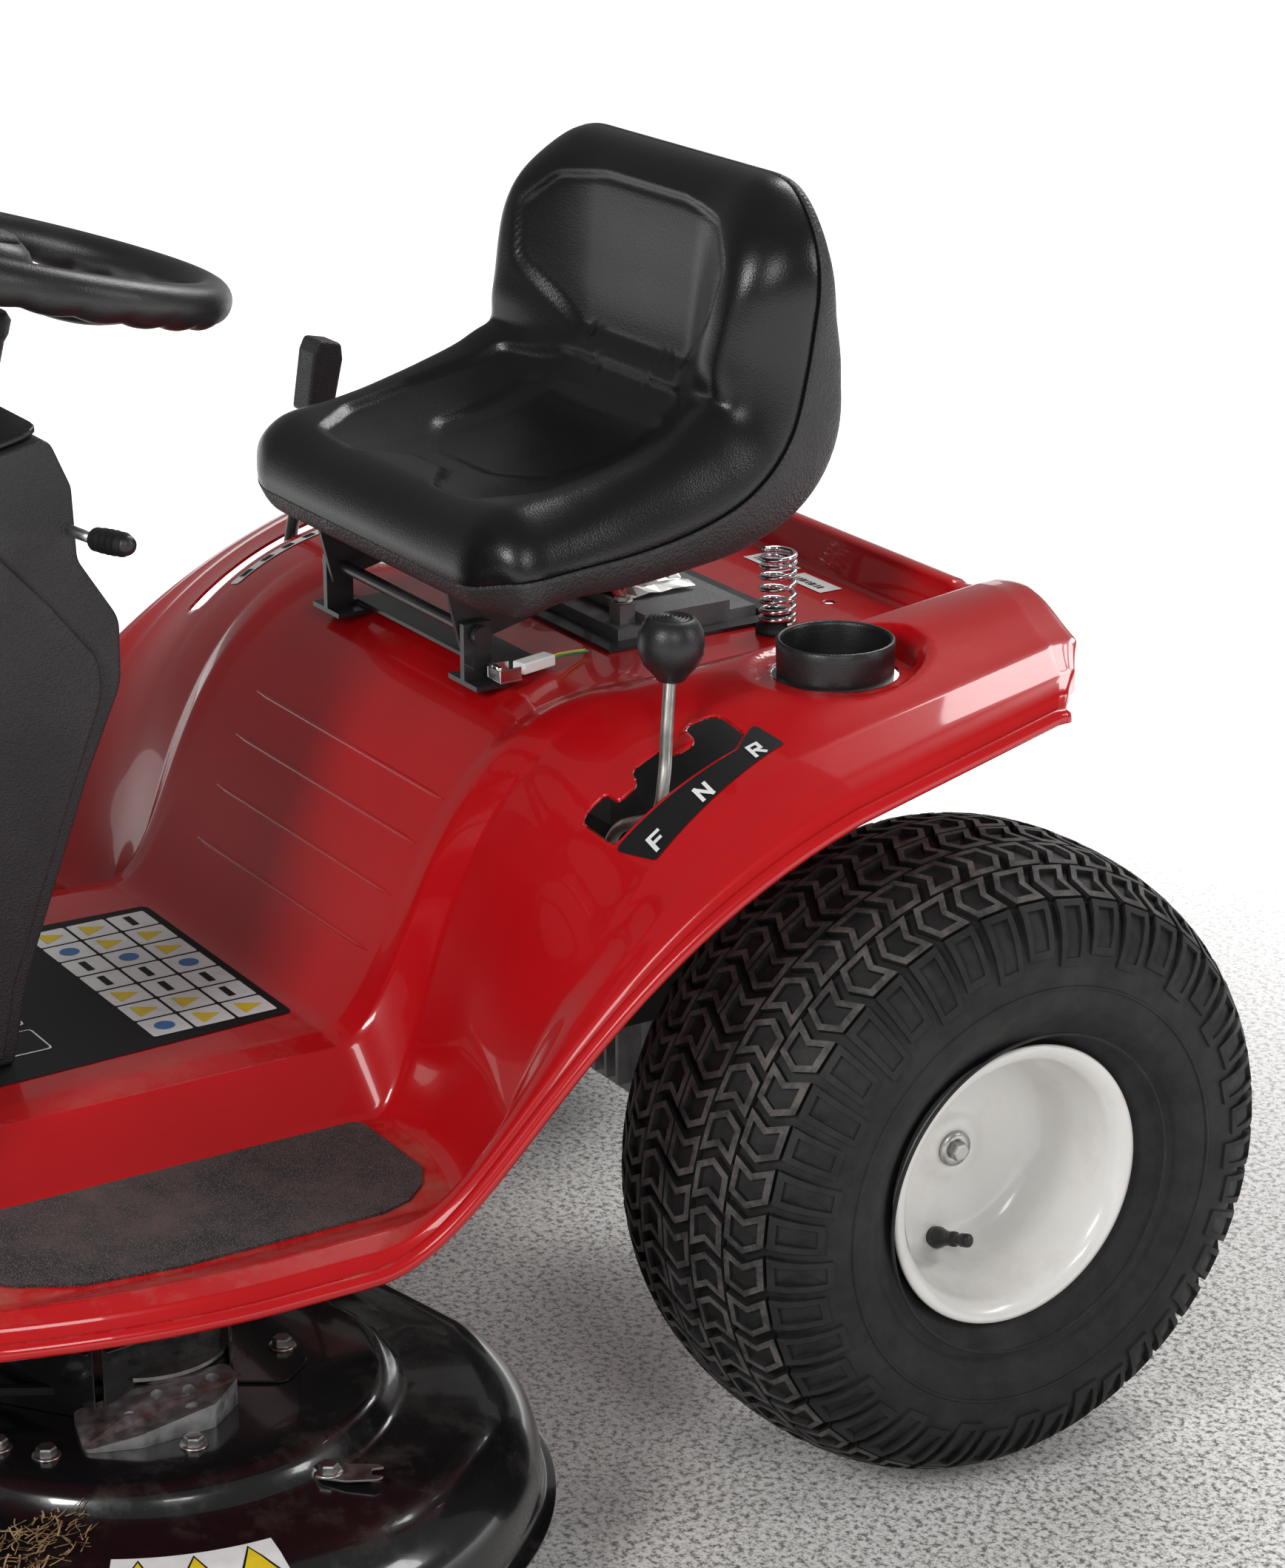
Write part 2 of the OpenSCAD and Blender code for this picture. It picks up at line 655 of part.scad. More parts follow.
// Plate with a curved window, whose outer edge is toothed and runs around the pinion
module sector_gear() {
    reach = norm(pinion_at - [sector_x, sector_y]);
    window_in = reach - pinion_r - 3;
    window_out = reach + pinion_r + 3;
    middle = atan2(pinion_at[1] - sector_y, pinion_at[0] - sector_x);
    half = 46;
    edge = 5;
    color("dimgray") translate([sector_x, sector_y, sector_z]) difference() {
        union() {
            linear_extrude(sector_t) polygon(concat([[0, 0]],
                [for (a = [-half - edge : 3 : half + edge])
                    (window_out + 16) * [cos(middle + a), sin(middle + a)]]));
            bar(44, 0, sector_t);
            linear_extrude(sector_t) polygon([[0, 20], [-drag_arm, 16], [-drag_arm, -16], [0, -20]]);
            translate([-drag_arm, 0, 0]) bar(34, 0, sector_t);
        }
        bar(14 + fit, -1, 20);
        translate([-drag_arm, 0, 0]) bar(22, -1, 20);
        translate([0, 0, -1]) linear_extrude(20) polygon(concat(
            [for (a = [-half : 2 : half]) window_in * [cos(middle + a), sin(middle + a)]],
            [for (a = [half : -2 : -half]) window_out * [cos(middle + a), sin(middle + a)]]));
        for (a = [4 - half : 6 : half - 2]) rotate([0, 0, middle + a])
            translate([window_out, 0, 0]) bar(7, -1, 20);
    }
}

// ---------- front axle ----------

module front_axle() {
    beam_half = 22;
    color("#1c1c1e") difference() {
        union() {
            block([-kingpin_x + 16, front_y - beam_half, pivot_z - 18],
                  [kingpin_x - 16, front_y + beam_half, pivot_z + 18]);
            for (s = [-1, 1]) translate([s * kingpin_x, front_y, 0]) bar(38, 214, 274);
            translate([0, front_y - 30, pivot_z]) along_y() bar(34, 0, 60);
        }
        for (s = [-1, 1]) translate([s * kingpin_x, front_y, 0]) bar(kingpin_d + fit, 200, 290);
        translate([0, front_y - 40, pivot_z]) along_y() bar(16 + fit, 0, 80);
    }
}

// Kingpin, steering arm and stub axle; the arm for the tie rod points to the rear
module spindle(side, has_drag_arm) {
    stub = front_x - kingpin_x + front_disc_x;
    arm = link_z + 7.5;
    color("dimgray") mirror([side < 0 ? 1 : 0, 0, 0]) translate([kingpin_x, front_y, 0]) {
        bar(kingpin_d, front_r - 6, arm + 12);
        difference() {
            union() {
                bar(34, 176, 213.5);
                block([-13, 0, 178], [13, steer_arm, 188]);
                translate([0, steer_arm, 0]) bar(26, 178, 188);
            }
            translate([0, steer_arm, 0]) bar(10 + fit, 170, 200);
        }
        translate([0, 0, front_r]) along_x() {
            bar(axle_d, 0, stub + 6);
            bar(30, 0, 22);
            bar(26, stub + 0.4, stub + 6);
        }
        bar(34, 274.5, arm + 8);
        if (has_drag_arm) difference() {
            union() {
                block([-drag_arm, -12, arm], [0, 12, arm + 8]);
                translate([-drag_arm, 0, 0]) bar(26, arm, arm + 8);
            }
            translate([-drag_arm, 0, 0]) bar(8 + fit, arm - 10, arm + 20);
        }
    }
}

// Rod with a pin at each end that stands in the steering arms
module tie_rod() {
    y = front_y + steer_arm;
    color("dimgray") {
        rod([-kingpin_x, y, tie_z], [kingpin_x, y, tie_z], 14);
        translate([kingpin_x, y, 0]) bar(10, 175, tie_z);
        translate([-kingpin_x, y, 0]) bar(8, 175, tie_z);
        for (s = [-1, 1]) translate([s * kingpin_x, y, tie_z]) sphere(d = 19, $fn = 32);
    }
}

// Rod from the sector to the left spindle, with a pin that stands up at each end
module drag_link() {
    a = [kingpin_x - drag_arm, front_y, 0];
    b = [sector_x - drag_arm, sector_y, 0];
    color("dimgray") {
        rod(a + [0, 0, link_z], b + [0, 0, link_z], 12);
        translate(a) bar(8, link_z, link_z + 18);
        translate(b) bar(8, link_z, sector_z + sector_t + 3);
        for (p = [a, b]) translate(p) bar(17, link_z - 6, link_z + 6);
    }
}

// ---------- front end ----------

module front_bumper() {
    d = 25;
    z = 290;
    y = -836;
    color("#1c1c1e") {
        rod([-176, y, z], [176, y, z], d);
        for (s = [-1, 1]) {
            translate([s * 176, y, z]) sphere(d = d + 3, $fn = 32);
            rod([s * 176, y + 4, z], [s * 196, -700, z + 4], d);
            block([s * 185.5 - 5, -720, 286], [s * 185.5 + 5, -664, 345]);
        }
    }
}

module engine_block() {
    base = rail_top + 4.2;
    fins = 7;
    color("#9a9da0") difference() {
        union() {
            translate([crank_at[0], crank_at[1], 0]) bar(190, base, base + 110);
            block([-62, -620, base + 10], [62, -450, base + 100]);
            for (i = [0 : fins - 1])
                block([-74, -690 + i * 13, base + 4], [74, -684 + i * 13, base + 112]);
            block([-48, -700, base + 14], [48, -600, base + 100]);
            for (x = [-88, 88], y = [-88, 88])
                translate([crank_at[0] + x, crank_at[1] + y, 0]) bar(26, base, base + 14);
        }
        // bore that the crankshaft turns in
        translate([crank_at[0], crank_at[1], 0]) bar(25.4 + fit, base - 1, base + 30);
    }
}
module engine_shroud() {
    base = rail_top + 4.2 + 110.4;
    color("#1b1b1d") difference() {
        union() {
            translate([crank_at[0], crank_at[1], 0]) bar(236, base, base + 62);
            block([-84, -700, base + 3], [84, -470, base + 40]);
            translate([crank_at[0], crank_at[1], 0]) bar(150, base + 62, base + 76);
        }
        translate([crank_at[0], crank_at[1], 0]) bar(226, base - 1, base + 56);
        block([-80, -696, base - 1], [80, -470, base + 36]);
        for (a = [0 : 20 : 340]) translate([crank_at[0], crank_at[1], 0])
            rotate([0, 0, a]) block([30, -3, base + 50], [66, 3, base + 90]);
    }
}
module muffler() {
    x = -137;
    color("#5b5450") {
        translate([x, -610, 428]) along_y() bar(76, 0, 150);
        translate([x, -600, 428]) along_y() bar(80, 0, 6);
        rod([x, -609, 410], [x, -700, 398], 26);
        rod([x + 36, -580, 420], [-63, -580, 420], 24);
    }
}
module air_cleaner() {
    x = 122;
    w = 64;
    color("#1b1b1d") {
        translate([0, 0, 405]) linear_extrude(86) rounded([x, -540], [x + w, -396], 16);
        translate([0, 0, 491]) linear_extrude(6) rounded([x + 6, -534], [x + w - 6, -402], 12);
        translate([x + w / 2, -468, 497]) bar(22, 0, 14);
    }
}
module fuel_tank() {
    color("gainsboro") translate([0, 0, 470]) linear_extrude(130)
        rounded([-150, -308], [150, -188], 24);
    color("black") translate([-90, -250, 0]) {
        bar(58, 600, 622);
        bar(40, 600, 606);
    }
}
module crank_pulley() {
    color("dimgray") translate([crank_at[0], crank_at[1], 0]) {
        bar(25.4, belt_z - 12, rail_top + 30);
        difference() {
            bar(110, belt_z - 9, belt_z + 9);
            rotate_extrude() translate([48, belt_z]) polygon([[0, -3], [10, -7], [10, 7], [0, 3]]);
        }
        bar(100, belt_z + 40, belt_z + 58);
    }
}

// Slices of the hood from nose to dash: y, half width, top height, corner cut
module hood_form(t) {
    slices = [[-843, 178, 590, 70], [-800, 212, 640, 80], [-560, 234, 690, 84],
        [-152, 240, 740, 90]];
    for (i = [0 : 2]) hull() for (s = [slices[i], slices[i + 1]])
        translate([0, s[0] + (i == 0 && s == slices[0] ? t : 0), 0]) rotate([90, 0, 0])
            linear_extrude(0.2) polygon([[-s[1] + t, 380], [-s[1] + t, s[2] - s[3]],
                [-s[1] + s[3] * 0.3 + t, s[2] - s[3] * 0.35],
                [-s[1] + s[3] + t, s[2] - t], [s[1] - s[3] - t, s[2] - t],
                [s[1] - s[3] * 0.3 - t, s[2] - s[3] * 0.35], [s[1] - t, s[2] - s[3]],
                [s[1] - t, 380]]);
}
module hood() {
    color("firebrick") difference() {
        hood_form(0);
        hood_form(4);
        block([-190, -850, 300], [190, -600, 390]);
        block([-300, -900, 300], [300, -100, 386]);
        // openings for the grille and the lights
        block([-120, -860, 400], [120, -820, 500]);
        for (s = [-1, 1]) block([s * 110 - 46, -860, 512], [s * 110 + 46, -820, 556]);
        block([-236, -160, 300], [236, -140, 700]);
        for (s = [-1, 1], z = [440 : 26 : 570])
            block([s * 232 - 20, -520, z], [s * 232 + 20, -400, z + 10]);
    }
}
module grille() {
    color("#1b1b1d") difference() {
        block([-119.5, -846, 400.5], [119.5, -830, 499.5]);
        for (z = [408 : 15 : 488]) block([-112, -850, z], [112, -826, z + 8]);
    }
}
module headlight_lenses() {
    color("lightgray") for (s = [-1, 1])
        block([s * 110 - 45.5, -846, 512.5], [s * 110 + 45.5, -832, 555.5]);
}

// ---------- controls ----------

module shift_lever() {
    top = [300, 407, 640];
    color("silver") {
        bent_rod([shift_pivot, [262, 380, 508], [333, 377, 548], [335, 378, 575], top], 9.5);
        translate(shift_pivot) along_x() bar(26, -14, 14);
    }
}
module shift_knob() {
    color("#141416") translate([300, 407, 664]) difference() {
        union() {
            sphere(d = 50, $fn = 48);
            translate([0, 0, 12]) bar(36, 0, 11);
        }
        bar(9.6, -30, -14);
        translate([0, 0, -60]) bar(80, 0, 37);
    }
}
module lift_lever() {
    color("#1c1c1e") {
        bent_rod([lift_pivot, [-262, 392, 505], [-330, 412, 548], [-330, 446, 712]], 11);
        translate(lift_pivot) along_x() bar(30, -12, 34);
    }
}
module lift_grip() {
    color("#141416") translate([-330, 446, 712]) rotate([-12, 0, 0]) difference() {
        translate([-15, -11, 0.3]) cube([30, 22, 66]);
        translate([-20, -12, 61]) cube([40, 4, 12]);
    }
}
module brake_pedal() {
    x = 284;
    color("#1c1c1e") {
        translate([0, pedal_pivot[1], pedal_pivot[2]]) along_x() bar(16, 160, x + 12);
        bent_rod([[x, -362, 338], [x, -366, 420], [x, -352, 452]], 14);
        translate([x, -350, 462]) rotate([60, 0, 0]) difference() {
            translate([-42, -28, -4]) cube([84, 56, 10]);
            for (y = [-20 : 10 : 20]) translate([-38, y - 2, 4]) cube([76, 4, 4]);
        }
    }
}
module brake_lock_lever() {
    color("silver") rod([112, 18, 765], [152, 22, 766], 8);
    color("#141416") rod([150, 22, 766], [192, 30, 770], 17);
}
module ignition_key() {
    color("silver") at_dash_top() translate([-72, 52, 0]) {
        bar(14, -4, 9);
        block([-11, -1.5, 8], [11, 1.5, 30]);
    }
}

// ---------- mower deck ----------

// Plan outline of the deck, grown by g all round
module deck_plan(g) {
    translate(left_c) circle(r = left_r + g, $fn = 96);
    translate(right_c) circle(r = right_r + g, $fn = 96);
    polygon([left_c + [0, left_r + g], right_c + [0, right_r + g],
        right_c - [0, right_r + g], left_c - [0, left_r + g]]);
}
module mower_deck() {
    wall = 3;
    step = 14;
    color("#101012") difference() {
        union() {
            translate([0, 0, deck_edge_z]) linear_extrude(3) deck_plan(lip);
            translate([0, 0, deck_edge_z]) linear_extrude(deck_top - deck_edge_z - 30) deck_plan(0);
            translate([0, 0, deck_top - 30 - tiny]) linear_extrude(18) deck_plan(-12);
            translate([0, 0, deck_top - 12 - tiny]) linear_extrude(12) deck_plan(-34);
            // raised step around the spindles
            translate([0, 0, deck_top - tiny]) linear_extrude(step) deck_plan(-110);
            // discharge chute
            block([-505, -150, deck_edge_z + 30], [-440, 20, deck_top - 20]);
            // hinge ears of the deflector
            for (y = [-152, 16]) block([-516, y, deck_top - 22], [-480, y + 4, deck_top - 2]);
            // brackets for the lift links
            for (s = [-1, 1], y = [70, -190])
                block([s * 170 - 3, y - 16, deck_top + step - 2], [s * 170 + 3, y + 16, deck_top + 42]);
            // belt guards over the left spindle
            block([330, -96, deck_top - 1], [334, 60, deck_top + 36]);
        }
        translate([0, 0, deck_edge_z - 1]) linear_extrude(deck_top - deck_edge_z - 30) deck_plan(-wall);
        translate([0, 0, deck_edge_z]) linear_extrude(deck_top - deck_edge_z - 15) deck_plan(-15);
        translate([0, 0, deck_edge_z]) linear_extrude(deck_top - deck_edge_z - wall) deck_plan(-37);
        block([-530, -146, deck_edge_z - 5], [-430, 16, deck_top - 24]);
        for (c = [left_c, right_c]) translate([c[0], c[1], 0]) bar(44, 100, 200);
        translate(deflector_hinge - [0, 160, 0]) along_y() bar(8 + fit, 0, 190);
        for (s = [-1, 1], y = [70, -190]) translate([s * 170 - 10, y, deck_top + 30]) along_x() bar(10.2, 0, 20);
    }
}
module spindle_housings() {
    top = deck_top + 14;
    color("#b9bcbf") for (c = [left_c, right_c]) translate([c[0], c[1], 0]) difference() {
        union() {
            bar(43, deck_top - 8, top);
            bar(90, top + 0.2, top + 4);
            for (a = [0 : 60 : 300]) rotate([0, 0, a]) translate([44, 0, 0]) bar(22, top + 0.2, top + 4);
            bar(48, top + 3.5, top + 6);
        }
        bar(20 + fit, 100, 260);
    }
}
module blade(c, turn) {
    z = deck_edge_z + 14;
    color("dimgray") translate([c[0], c[1], 0]) {
        bar(20, z - 6, belt_z + 6);
        translate([0, 0, z - 8]) hex_head(24, 8.5);
        rotate([0, 0, turn]) {
            block([-blade_l / 2, -27, z], [blade_l / 2, 27, z + 5]);
            for (s = [0, 180]) rotate([0, 0, s])
                translate([blade_l / 2 - 95, 20, z]) rotate([38, 0, 0]) cube([95, 22, 4]);
        }
        difference() {
            bar(130, belt_z - 9, belt_z + 9);
            rotate_extrude() translate([57, belt_z]) polygon([[0, -3], [11, -7], [11, 7], [0, 3]]);
        }
        bar(30, belt_z + 4, belt_z + 16);
    }
}
module left_blade() { blade(left_c, 25); }
module right_blade() { blade(right_c, 75); }

// Outline around the three pulleys of the mower belt
module belt_plan(g) {
    hull() {
        translate(left_c) circle(r = 59 + g, $fn = 48);
        translate(right_c) circle(r = 59 + g, $fn = 48);
        translate(crank_at) circle(r = 50 + g, $fn = 48);
    }
}
module mower_belt() {
    color("black") translate([0, 0, belt_z - 3]) linear_extrude(6) difference() {
        belt_plan(6);
        belt_plan(-1);
    }
}
module lift_links() {
    color("#1c1c1e") for (s = [-1, 1], y = [70, -190]) {
        block([s * 176 - 2, y - 12, deck_top + 18], [s * 176 + 2, y + 12, 270]);
        translate([s * 170, y, deck_top + 30]) along_x() bar(10, -9, 9);
    }
}
module deflector() {
    color("#101012") translate(deflector_hinge) {
        translate([0, -154, 0]) along_y() bar(8, 0, 176);
        rotate([0, 26, 0]) block([-4, -144, -78], [0, 14, 0]);
        rotate([0, 26, 0]) for (y = [-144, 10]) block([-4, y, -78], [24, y + 4, -30]);
    }
}

// ---------- assembly ----------

chassis_frame();
hitch_plate();
transaxle();
fender_body();
footrest_pads();
cup_holder();
battery_tray();
battery();
battery_cables();
seat_springs();
seat_bracket();
seat_switch();
dash_pedestal();
dash_panel();
steering_column();
front_bumper();
engine_block();
engine_shroud();
muffler();
air_cleaner();
fuel_tank();
crank_pulley();
seat_cushion();
seat_shell();
seat_pan();
steering_wheel();
steering_shaft();
sector_gear();
drag_link();
front_axle();
spindle(1, true);  // left_spindle
spindle(-1, false);  // right_spindle
tie_rod();
front_tire(1);  // left_front_tire
front_tire(-1);  // right_front_tire
front_rim(1);  // left_front_rim
front_rim(-1);  // right_front_rim
rear_tire(1);  // left_rear_tire
rear_tire(-1);  // right_rear_tire
rear_rim(1);  // left_rear_rim
rear_rim(-1);  // right_rear_rim
axle_shaft(1);  // left_axle_shaft
axle_shaft(-1);  // right_axle_shaft
hood();
grille();
headlight_lenses();
shift_lever();
shift_knob();
lift_lever();
lift_grip();
brake_pedal();
brake_lock_lever();
ignition_key();
mower_deck();
deflector();
spindle_housings();
left_blade();
right_blade();
mower_belt();
lift_links();
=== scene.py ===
import math

import bmesh
import bpy
import numpy as np
from mathutils import Matrix, Vector
from mathutils.bvhtree import BVHTree


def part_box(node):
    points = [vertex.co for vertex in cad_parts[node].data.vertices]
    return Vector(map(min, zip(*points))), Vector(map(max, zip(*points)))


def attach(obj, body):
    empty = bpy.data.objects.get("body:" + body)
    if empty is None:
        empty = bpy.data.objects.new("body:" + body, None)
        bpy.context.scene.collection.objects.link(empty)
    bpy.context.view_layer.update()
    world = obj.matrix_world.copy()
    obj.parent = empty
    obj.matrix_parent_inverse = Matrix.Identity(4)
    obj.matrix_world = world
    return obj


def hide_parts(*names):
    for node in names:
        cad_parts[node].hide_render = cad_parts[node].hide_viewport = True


MM = 0.001
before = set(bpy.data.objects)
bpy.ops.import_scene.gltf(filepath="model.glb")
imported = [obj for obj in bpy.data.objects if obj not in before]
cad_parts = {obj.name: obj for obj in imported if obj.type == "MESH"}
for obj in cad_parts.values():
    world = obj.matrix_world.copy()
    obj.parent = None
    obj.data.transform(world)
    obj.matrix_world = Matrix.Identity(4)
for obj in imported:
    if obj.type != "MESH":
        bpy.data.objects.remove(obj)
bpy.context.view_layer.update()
scene = bpy.context.scene


# ---------- camera, floor and light ----------

def make_camera():
    camera = bpy.data.objects.new("camera", bpy.data.cameras.new("camera"))
    scene.collection.objects.link(camera)
    camera.location = (2.579, -1.045, 1.517)
    camera.rotation_euler = (math.radians(70.42), 0, math.radians(57.94))
    camera.data.sensor_width = 36
    camera.data.lens = 89.3
    camera.data.clip_end = 100
    scene.camera = camera


def area_light(name, place, target, size, watts, tint=(1, 1, 1)):
    lamp = bpy.data.lights.new(name, "AREA")
    lamp.shape = "RECTANGLE"
    lamp.size, lamp.size_y = size
    lamp.energy = watts
    lamp.color = tint
    obj = bpy.data.objects.new(name, lamp)
    scene.collection.objects.link(obj)
    obj.location = place
    obj.rotation_euler = (Vector(target) - Vector(place)).to_track_quat("-Z", "Y").to_euler()


def make_light():
    world = bpy.data.worlds.new("studio")
    world.use_nodes = True
    world.node_tree.nodes["Background"].inputs["Color"].default_value = (1, 1, 1, 1)
    world.node_tree.nodes["Background"].inputs["Strength"].default_value = 0.2
    scene.world = world
    scene.view_settings.view_transform = "Standard"
    middle = (0, 0.3, 0.5)
    area_light("key", (1.9, -3.7, 3.1), middle, (1.0, 1.5), 120)
    area_light("fill", (3.6, -0.6, 2.6), middle, (0.8, 1.4), 34)
    area_light("top", (-0.9, 2.4, 3.3), middle, (1.8, 0.9), 52)
    area_light("side", (2.8, 3.2, 2.2), (0, 0.4, 0.4), (0.6, 1.6), 30)
    area_light("back", (-1.6, 3.8, 2.9), middle, (1.0, 1.6), 38)


# ---------- mesh helpers ----------

def link(name, data):
    obj = bpy.data.objects.new(name, data)
    scene.collection.objects.link(obj)
    return obj


def solid(name, verts, faces, smooth=True):
    """A new mesh object in the scene."""
    data = bpy.data.meshes.new(name)
    data.from_pydata([tuple(float(c) for c in v) for v in verts], [], faces)
    data.update()
    if smooth:
        data.shade_smooth()
    return link(name, data)


def grid_faces(rows, cols, wrap_rows=False, wrap_cols=False):
    """Quads over a grid of rows * cols points, closed round either way if asked."""
    faces = []
    for i in range(rows if wrap_rows else rows - 1):
        for j in range(cols if wrap_cols else cols - 1):
            a, b = i * cols + j, i * cols + (j + 1) % cols
            c, d = ((i + 1) % rows) * cols + (j + 1) % cols, ((i + 1) % rows) * cols + j
            faces.append((a, b, c, d))
    return faces


def outward(obj):
    """Turns the faces of a closed mesh so that they look outwards."""
    work = bmesh.new()
    work.from_mesh(obj.data)
    bmesh.ops.recalc_face_normals(work, faces=work.faces)
    work.to_mesh(obj.data)
    work.free()
    return obj


def between(name, first, last):
    """A flat-faced solid between two outlines that have the same number of points."""
    n = len(first)
    faces = [tuple(reversed(range(n))), tuple(range(n, 2 * n))]
    faces += [(i, (i + 1) % n, n + (i + 1) % n, n + i) for i in range(n)]
    return outward(solid(name, list(first) + list(last), faces, smooth=False))


def through(name, rings, smooth=True):
    """A closed solid through rings of points, with a flat end at the first and the last."""
    count, around = len(rings), len(rings[0])
    faces = grid_faces(count, around, wrap_cols=True)
    faces += [tuple(range(around)), tuple(range((count - 1) * around, count * around))]
    return outward(solid(name, [p for ring in rings for p in ring], faces, smooth))


def modifier(obj, kind, **values):
    made = obj.modifiers.new(kind.lower(), kind)
    for key, value in values.items():
        setattr(made, key, value)
    return made


def bevelled(obj, width, segments=3, angle=35):
    modifier(obj, "BEVEL", width=width, segments=segments, limit_method="ANGLE",
             angle_limit=math.radians(angle), harden_normals=False)
    return obj


def settled(obj):
    """Applies an object's modifiers to its mesh."""
    graph = bpy.context.evaluated_depsgraph_get()
    data = bpy.data.meshes.new_from_object(obj.evaluated_get(graph))
    obj.modifiers.clear()
    obj.data = data
    return obj


def cut(obj, *tools):
    """Takes the tools' shapes out of obj and deletes the tools."""
    for tool in tools:
        modifier(obj, "BOOLEAN", operation="DIFFERENCE", solver="EXACT", object=tool)
    settled(obj)
    for tool in tools:
        bpy.data.objects.remove(tool)
    return obj


def prism(name, outline, low, high):
    """A solid over a plan outline, between two heights."""
    return between(name, *[[(x, y, z) for x, y in outline] for z in (low, high)])


def oblong(x0, y0, x1, y1):
    return [(x0, y0), (x1, y0), (x1, y1), (x0, y1)]


def block(name, low, high):
    return prism(name, oblong(*low[:2], *high[:2]), low[2], high[2])


def circle(x, y, r, n=48):
    return [(x + r * math.cos(2 * math.pi * i / n), y + r * math.sin(2 * math.pi * i / n))
            for i in range(n)]


def ellipse(half_width, half_height, n=16):
    return [(half_width * x, half_height * y) for x, y in circle(0, 0, 1, n)]


def frames(points):
    """Tangent, side and up vectors along a path, turning as little as they can."""
    pts = [Vector(p) for p in points]
    out = []
    side = None
    for before, after in zip(pts[:1] + pts[:-1], pts[1:] + pts[-1:]):
        t = (after - before).normalized()
        if side is None:
            side = t.orthogonal().normalized()
        side = (side - t * side.dot(t)).normalized()
        out.append((t, side, t.cross(side)))
    return out


def tube(name, points, radius, sides=16):
    """A round tube along a path. radius is one number, or one for each point."""
    radii = radius if hasattr(radius, "__len__") else [radius] * len(points)
    angles = [2 * math.pi * k / sides for k in range(sides)]
    rings = [[Vector(p) + (u * math.cos(a) + v * math.sin(a)) * r for a in angles]
             for p, r, (_, u, v) in zip(points, radii, frames(points))]
    return through(name, rings)


def curve_through(points, per_span=8):
    """A smooth path through points."""
    pts = [np.array(p, float) for p in points]
    ends = [2 * pts[0] - pts[1]] + pts + [2 * pts[-1] - pts[-2]]
    out = []
    for i in range(len(pts) - 1):
        a, b, c, d = ends[i:i + 4]
        for k in range(per_span):
            out.append(catmull(a, b, c, d, k / per_span))
    out.append(pts[-1])
    return out


def catmull(a, b, c, d, t):
    """The point a share t of the way from b to c, on a curve that also passes a and d."""
    return b + t / 2 * (c - a + t * (2 * a - 5 * b + 4 * c - d + t * (3 * (b - c) + d - a)))


def lathe(name, profile, place, axis="x", segments=128, side=1):
    """Turns a closed outline of (radius, distance along the axis) about an axis at a place."""
    verts = []
    for i in range(segments):
        a = 2 * math.pi * i / segments
        for r, h in profile:
            p, q = r * math.cos(a), r * math.sin(a)
            verts.append({"x": (side * h, p, q), "z": (p, q, h)}[axis])
    if isinstance(place, Matrix):
        verts = [place @ Vector(v) for v in verts]
    else:
        verts = [tuple(o + c for o, c in zip(place, v)) for v in verts]
    faces = grid_faces(segments, len(profile), wrap_rows=True, wrap_cols=True)
    return outward(solid(name, verts, faces))


def rounded_path(corners, steps=5):
    """An outline from corners (x, y, radius), with an arc at each."""
    out = []
    n = len(corners)
    for i, (x, y, r) in enumerate(corners):
        p = Vector((x, y))
        before = Vector(corners[i - 1][:2]) - p
        after = Vector(corners[(i + 1) % n][:2]) - p
        if r <= 0:
            out.append((x, y))
            continue
        half = before.angle(after) / 2
        reach = min(r / math.tan(half), before.length * 0.49, after.length * 0.49)
        a, b = p + before.normalized() * reach, p + after.normalized() * reach
        for k in range(steps + 1):
            t = k / steps
            out.append(tuple(a * (1 - t) ** 2 + p * 2 * t * (1 - t) + b * t * t))
    return out


def rounded_oblong(x0, y0, x1, y1, r, steps=5):
    return rounded_path([(x, y, r) for x, y in oblong(x0, y0, x1, y1)], steps)


def dress(obj, body, material, replaces=()):
    """Gives a finished piece its body and material, and hides the nodes it stands for."""
    obj.data.materials.clear()
    for m in material if isinstance(material, (list, tuple)) else [material]:
        obj.data.materials.append(m)
    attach(obj, body)
    if replaces:
        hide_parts(*replaces)
    return obj


# ---------- materials ----------

